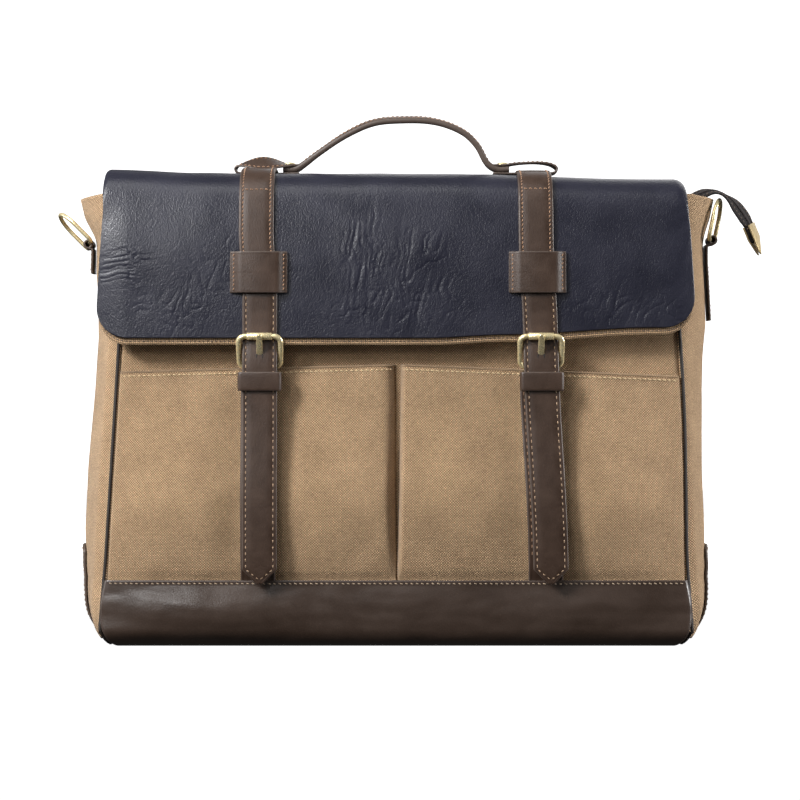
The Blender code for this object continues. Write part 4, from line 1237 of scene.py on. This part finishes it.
# ---------------------------------------------------------------- D rings
def make_d_rings():
    half, reach, corner, eye, tab = 0.0140, 0.0300, 0.0032, 0.0027, 0.0016
    shape = arc((reach - half, 0), half, 90, -90, 28) + arc((corner, -half + corner), corner, -90, -180, 6)
    shape += arc((corner, half - corner), corner, 180, 90, 6)
    for side, sign in SIDES.items():
        bar_z = D_RING_Z[side]
        wall = seam_x(bar_z) + SEAM_ALLOWANCE + gusset_full(side, bar_z)
        bar = Vector((sign * (wall + 0.0046 + D_RING_SHIFT[side]), 0, bar_z))
        lean = math.radians(D_RING_LEAN[side])
        out = Vector((sign * math.cos(lean), 0, math.sin(lean)))
        twist = turning(D_RING_TWIST[side], out)
        points = []
        for p, q in zip(shape, shape[1:] + shape[:1]):
            for n in range(5 if (q - p).length > 0.004 else 1):
                spot = p.lerp(q, n / 5)
                points.append(bar + out * spot.x + twist @ Vector((0, spot.y, 0)))
        ring = wire(f"d_ring_wire_{side}", points, 0.00155, BRASS, True, None, 6)
        fix(ring, f"d_ring_{side}", "antique_brass", f"d_ring_{side}")

        start, end = (250, -80) if side == "right" else (-70, 260)
        path = arc((bar.x, bar.z), eye, start, end, 26)
        for k in range(15):
            z = mix(bar_z - 0.0035, bar_z - D_TAB_LENGTH[side], k / 14)
            path.append(Vector((sign * (gusset_out(side, z, 0.5) + 0.0022), z)))
        stations = [(Vector((p.x, 0, p.y)), Vector((0, -sign, 0)), away * sign, 0.0095)
                    for _, p, _, away in upright(evenly(path, 70))]
        brown_strap(f"d_ring_tab_leather_{side}", stations, tab, "bag", f"d_ring_tab_{side}")
        sew(f"d_ring_tab_stitches_{side}", seam_rows(stations[32:-2], tab), TAN_THREAD, "bag",
            "brown_leather")


# ---------------------------------------------------------------- zip
def small_block(bm, size, matrix):
    made = bmesh.ops.create_cube(bm, size=1)["verts"]
    bmesh.ops.scale(bm, vec=size, verts=made)
    bmesh.ops.transform(bm, matrix=matrix, verts=made)


def bevelled(bm, width):
    bmesh.ops.bevel(bm, geom=bm.edges[:], offset=width, segments=1, affect="EDGES", profile=0.5)
    return bm


def make_zip():
    reach = ZIP_HINGE_Y - 0.0007
    half_length = 0.1630
    teeth = 200
    for name, sign in (("front", -1), ("rear", 1)):
        y = sign * ZIP_HINGE_Y

        def place(u, v):
            x = (u * 2 - 1) * half_length
            z = mix(ZIP_Z, ZIP_Z - reach + 0.0010, v)
            return x, y + 0.0003 * cloud(x * 40, z * 60, 4.0) * math.sin(math.pi * v), z

        tape = sheet(f"zip_tape_{name}", place, (120, 12), 0.0009, TAPE_CLOTH)
        fix(tape, f"zip_{name}", "zip_tape", f"zip_strip_{name}")
        bm = bmesh.new()
        for k in range(teeth):
            x = mix(-half_length + 0.001, half_length - 0.001, k / (teeth - 1))
            small_block(bm, (0.0009, 0.0022, 0.0021), Matrix.Translation((x, y, ZIP_Z - reach + 0.0012)))
        fix(object_from(f"zip_teeth_{name}", bevelled(bm, 0.0002), BRASS), f"zip_{name}", "antique_brass")

    x0, x1 = 0.1665, 0.1785
    middle = (x0 + x1) / 2
    shape = ((-0.006, -0.0034), (-0.004, -0.0046), (0.003, -0.0046), (0.006, -0.0030), (0.006, 0.0030),
             (0.003, 0.0046), (-0.004, 0.0046), (-0.006, 0.0034))
    web = ((0.001, -0.0008), (0.0055, -0.0016), (0.0055, 0.0016), (0.001, 0.0008))
    for name, outline, z, thick, bevel, nodes in (
            ("slider_top", shape, ZIP_Z + 0.0024, 0.0012, 0.0004, ["zip_slider"]),
            ("slider_bottom", shape, ZIP_Z - 0.0024, 0.0012, 0.0004, []),
            ("slider_web", web, ZIP_Z, 0.0040, 0.0002, [])):
        part = plate(name, outline, thick, lambda a, b, c: (middle + a, b, z + c), BRASS, bevel)
        fix(part, "zip_slider", "antique_brass", *nodes)
    pull_z = ZIP_Z + 0.0042
    outline = [(x1 - 0.003, -0.0020), (x1 - 0.003, 0.0020), (x0 - 0.004, 0.0034)]
    outline += arc((x0 - 0.0125, 0), 0.0034, 90, 270, 12) + [(x0 - 0.004, -0.0034)]
    hole = arc((x0 - 0.0120, 0), 0.0014, 0, 345, 23)
    pull = plate("zip_pull_plate", outline, 0.0015, lambda a, b, c: (a, b, pull_z + c), BRASS, 0.0003,
                 (hole,))
    fix(pull, "zip_pull", "antique_brass", "zip_pull")
    make_zip_tail()


def make_zip_tail():
    """The loose end of the zip, with its coil, its stitches and its folded brass cap."""
    tail = smooth_path(
        [(0.1795, ZIP_Z), (0.1900, 0.3000), (0.2050, 0.3118), (0.2180, 0.3212), (0.2300, 0.3245),
         (0.2415, 0.3190), (0.2505, 0.3085), (0.2570, 0.2970), (0.2605, 0.2880)], 90)
    stations = []
    for share, p, run, out in upright(tail):
        degrees = mix(8, 18, ease(share * 2.2)) + 12 * ease((share - 0.5) / 0.3)
        twist = turning(degrees - 12 * hump(share, 0.60, 0.14), run)
        half = 0.0112 - 0.0022 * ease((share - 0.82) / 0.06)
        stations.append((Vector((p.x, 0, p.y)), twist @ Vector(TO_FRONT), twist @ out, half))
    fix(ribbon("zip_tail_tape", stations, 0.0014, TAPE_CLOTH, 0.0), "bag", "zip_tape", "zip_tail")
    bm = bmesh.new()
    for k in range(2, len(stations) - 11):
        middle, across, out, _ = stations[k]
        turn = Matrix((across, out.cross(across), out)).transposed().to_4x4()
        for past in (0.0, 0.5):
            spot = middle.lerp(stations[k + 1][0], past) + out * 0.0011
            small_block(bm, (0.0042, 0.0007, 0.0011), Matrix.Translation(spot) @ turn)
    fix(object_from("zip_tail_coil", bevelled(bm, 0.00015), TAPE_CLOTH), "bag", "zip_tape")
    for name, side in (("back", -1), ("front", 1)):
        row = [(middle + across * side * 0.0075 + out * 0.0007, out)
               for middle, across, out, _ in stations[2:-8]]
        sew(f"zip_tail_stitches_{name}", [row], DARK_THREAD, "bag", "zip_tape", 0.0030)

    end, across, out, _ = stations[-12]
    way = (stations[-1][0] - end).normalized()
    untwist = turning(-9, way)
    across, out = untwist @ across, untwist @ out
    shape = ((-0.0102, 0.0), (0.0102, 0.0), (0.0104, 0.0100), (0.0075, 0.0200), (0.0035, 0.0230),
             (-0.0100, 0.0110))
    for level, lift, nodes in (("upper", 0.0022, ["zip_end_cap"]), ("lower", -0.0022, [])):
        def cap_place(a, b, c):
            pinch = lift * (1 - 0.55 * ease((b - 0.010) / 0.007))
            return end + across * a + way * b + out * (c + pinch)
        cover = plate(f"zip_end_cap_{level}", shape, 0.0012, cap_place, CAP_BRASS, 0.0004)
        fix(cover, "bag", "antique_brass", *nodes)


# ---------------------------------------------------------------- inside
def make_inside():
    def loop_at(z):
        """The lining's way round the bag at a height, as 161 even points."""
        tuck = 0.007 * max(0.0, 1 - z / 0.030) ** 2
        corner = 0.010
        x = seam_x(z) - 0.0045 - tuck - corner
        y = half_depth(z) - 0.0036 - tuck - corner
        points = round_box(x, -y, y, corner, 6)
        return evenly([*points, points[0]], 161)

    def wall(u, v):
        z = mix(0.0095, 0.288, v)
        spot, run = along(loop_at(z), u)
        inward = Vector((-run.y, run.x)).normalized()
        slack = 0.0011 * (1 + cloud(spot.x * 22, spot.y * 22, z * 18)) * math.sin(math.pi * v)
        spot = spot + inward * slack
        return spot.x, spot.y, z

    def floor(u, v):
        x = (u * 2 - 1) * 0.1930
        y = (v * 2 - 1) * 0.0420
        return x, y, 0.0094 + 0.0006 * cloud(x * 20, y * 20, 1.0)

    lining = fix(sheet("lining_wall", wall, (160, 50), LINING, LINING_CLOTH), "bag", "lining_cloth", "lining")
    bottom = fix(sheet("lining_floor", floor, (60, 16), LINING, LINING_CLOTH), "bag", "lining_cloth")
    path_length(loop_at(0.15))
    row = []
    for k in range(4, 236):
        spot = Vector(wall((k + 0.5) / 240, 0.985))
        inward = Vector((-spot.x * 0.2, -spot.y, 0)).normalized()
        row.append((spot + inward * LINING / 2, inward))
    sew("lining_stitches", [row], TAN_THREAD, "bag", "lining_cloth", 0.0036)
    make_divider()


def make_divider():
    """The padded laptop divider: a quilted, stuffed panel, swollen by cloth simulation."""
    low, high = Vector((-0.1810, 0.0130, 0.0120)), Vector((0.1810, 0.0180, 0.2465))
    bm = bmesh.new()
    small_block(bm, high - low, Matrix.Translation((low + high) / 2))
    long_edges = [e for e in bm.edges if e.calc_length() > 0.1]
    bmesh.ops.subdivide_edges(bm, edges=long_edges, cuts=40, use_grid_fill=True)
    bmesh.ops.bevel(bm, geom=[e for e in bm.edges if e.calc_face_angle(0) > 1], offset=0.0020, segments=2,
                    affect="EDGES", profile=0.5)
    pad = object_from("laptop_divider_pad", bm, LINING_CLOTH)
    swell(pad, 0.0012)
    mesh = pad.data
    layer = mesh.uv_layers.new(name="UVMap") if not mesh.uv_layers else mesh.uv_layers[0]
    for loop in mesh.loops:
        spot = mesh.vertices[loop.vertex_index].co
        layer.data[loop.index].uv = (spot.x, spot.z)
    fix(pad, "bag", "padded_lining", "laptop_divider")

    def on_pad(x, z):
        found, spot, _, _ = pad.ray_cast(Vector((x, -0.02, z)), Vector((0, 1, 0)))
        return spot if found else Vector((x, low.y, z))

    rows = [seam_row(60, 0.020, 0.238, lambda z: on_pad(x, z)) for x in (-0.120, -0.060, 0.0, 0.060, 0.120)]
    sew("laptop_divider_stitches", rows, TAN_THREAD, "bag", "padded_lining", 0.0040)


def swell(obj, most):
    """Blow a pad up a little with cloth pressure, moving no point further than most."""
    frames = 14
    remesh = obj.modifiers.new("Remesh", "REMESH")
    remesh.mode = "VOXEL"
    remesh.voxel_size = 0.0030
    bpy.context.view_layer.update()
    mesh = bpy.data.meshes.new_from_object(obj.evaluated_get(bpy.context.evaluated_depsgraph_get()))
    obj.modifiers.clear()
    material = obj.data.materials[0]
    obj.data = mesh
    mesh.materials.clear()
    mesh.materials.append(material)
    rest = [v.co.copy() for v in mesh.vertices]
    cloth = obj.modifiers.new("Cloth", "CLOTH")
    cloth.settings.use_pressure = True
    cloth.settings.uniform_pressure_force = 4.0
    cloth.settings.effector_weights.gravity = 0.0
    cloth.settings.quality = 4
    cloth.point_cache.frame_end = frames
    for step in range(1, frames + 1):
        bpy.context.scene.frame_set(step)
    graph = bpy.context.evaluated_depsgraph_get()
    moved = [v.co.copy() for v in obj.evaluated_get(graph).data.vertices]
    obj.modifiers.clear()
    bpy.context.scene.frame_set(1)
    for vert, start, end in zip(mesh.vertices, rest, moved):
        way = end - start
        if way.length > most:
            way = way * (most / way.length)
        vert.co = start + way
    mesh.shade_smooth()


def dress_cad_nodes():
    """Better materials for the CAD pieces that stay in sight."""
    kept = {"base_board": BOARD}
    for side in SIDES:
        kept[f"snap_socket_{side}"] = BRASS
        kept[f"snap_stud_{side}"] = BRASS
    for node, material in kept.items():
        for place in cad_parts[node].material_slots:
            place.material = material


# ---------------------------------------------------------------- studio
LIGHTS = (      # name, place, aim, size, watts
    ("key", (-1.25, -1.05, 1.18), (-0.02, -0.05, 0.18), 0.50, 42.0),
    ("front", (-1.05, -1.60, 1.75), (-0.05, -0.05, 0.18), 0.80, 7.0),
    ("top", (-0.40, -0.70, 2.00), (0.0, 0.0, 0.30), 1.00, 9.0),
    ("right", (2.10, -0.14, 0.65), (0.15, 0.0, 0.16), 0.80, 52.0),
    ("left", (-2.10, 0.10, 0.60), (-0.15, 0.0, 0.16), 0.80, 8.0),
    ("low", (-0.66, -1.52, 0.75), (-0.16, -0.06, 0.04), 0.34, 4.6),
    ("rear", (0.6, 1.9, 1.2), (0.0, 0.0, 0.2), 1.6, 12.0),
)


def make_sweep():
    """A white floor that curves up into a wall all round."""
    floor, curve, wall, steps = 3.0, 1.2, 7.0, 48
    bm = bmesh.new()
    profile = [Vector((0.8, 0.0)), Vector((floor, 0.0)), *arc((floor, curve), curve, -90, 0, 12),
               Vector((floor + curve, wall))]
    turns = [2 * math.pi * k / steps for k in range(steps)]
    rows = [[bm.verts.new((p.x * math.cos(a), p.x * math.sin(a), p.y - 0.0006)) for a in turns]
            for p in profile]
    bm.faces.new(rows[0])
    for low, high in zip(rows, rows[1:]):
        for k in range(steps):
            after = (k + 1) % steps
            bm.faces.new((low[k], low[after], high[after], high[k]))
    sweep = object_from("studio_sweep", bm, plain_backdrop("studio_white"))
    sweep.visible_diffuse = False
    sweep.visible_glossy = False
    sweep.visible_shadow = False


def make_world():
    """Soft light that is brightest from the upper left front."""
    world = bpy.data.worlds.new("studio")
    world.use_nodes = True
    nodes, links = world.node_tree.nodes, world.node_tree.links
    coords = nodes.new("ShaderNodeTexCoord")
    facing = nodes.new("ShaderNodeVectorMath")
    facing.operation = "DOT_PRODUCT"
    facing.inputs[1].default_value = Vector((-0.45, -0.35, 0.80)).normalized()
    links.new(coords.outputs["Generated"], facing.inputs[0])
    level = nodes.new("ShaderNodeMapRange")
    level.interpolation_type = "SMOOTHSTEP"
    for name, number in (("From Min", -0.35), ("From Max", 1.0), ("To Min", 0.05), ("To Max", 0.27)):
        level.inputs[name].default_value = number
    links.new(facing.outputs["Value"], level.inputs["Value"])
    links.new(level.outputs[0], nodes["Background"].inputs["Strength"])
    nodes["Background"].inputs["Color"].default_value = (1.0, 1.0, 1.0, 1.0)
    bpy.context.scene.world = world


def make_studio():
    scene = bpy.context.scene
    make_sweep()
    make_world()
    for name, place, aim, size, power in LIGHTS:
        data = bpy.data.lights.new(name, "AREA")
        data.shape = "SQUARE"
        data.size = size
        data.energy = power
        lamp = bpy.data.objects.new(name, data)
        lamp.location = place
        lamp.rotation_euler = (Vector(aim) - Vector(place)).to_track_quat("-Z", "Y").to_euler()
        scene.collection.objects.link(lamp)
    scene.view_settings.view_transform = "Standard"
    scene.view_settings.look = "None"

    camera = bpy.data.objects.new("camera", bpy.data.cameras.new("camera"))
    distance, frame_width = 1.70, 0.56
    camera.data.sensor_width = 36.0
    camera.data.lens = 36.0 * distance / frame_width
    camera.location = (0.0028, -0.06 - distance, 0.1736)
    camera.rotation_euler = (math.radians(90), 0, 0)
    scene.collection.objects.link(camera)
    scene.camera = camera


make_panels()
make_gussets()
make_piping()
make_base()
make_pockets()
make_flap()
make_flap_straps()
make_keepers()
make_anchors()
make_tails()
make_buckles()
make_tabs()
make_loops()
make_handle()
make_d_rings()
make_zip()
make_inside()
dress_cad_nodes()
make_studio()

bpy.context.view_layer.update()
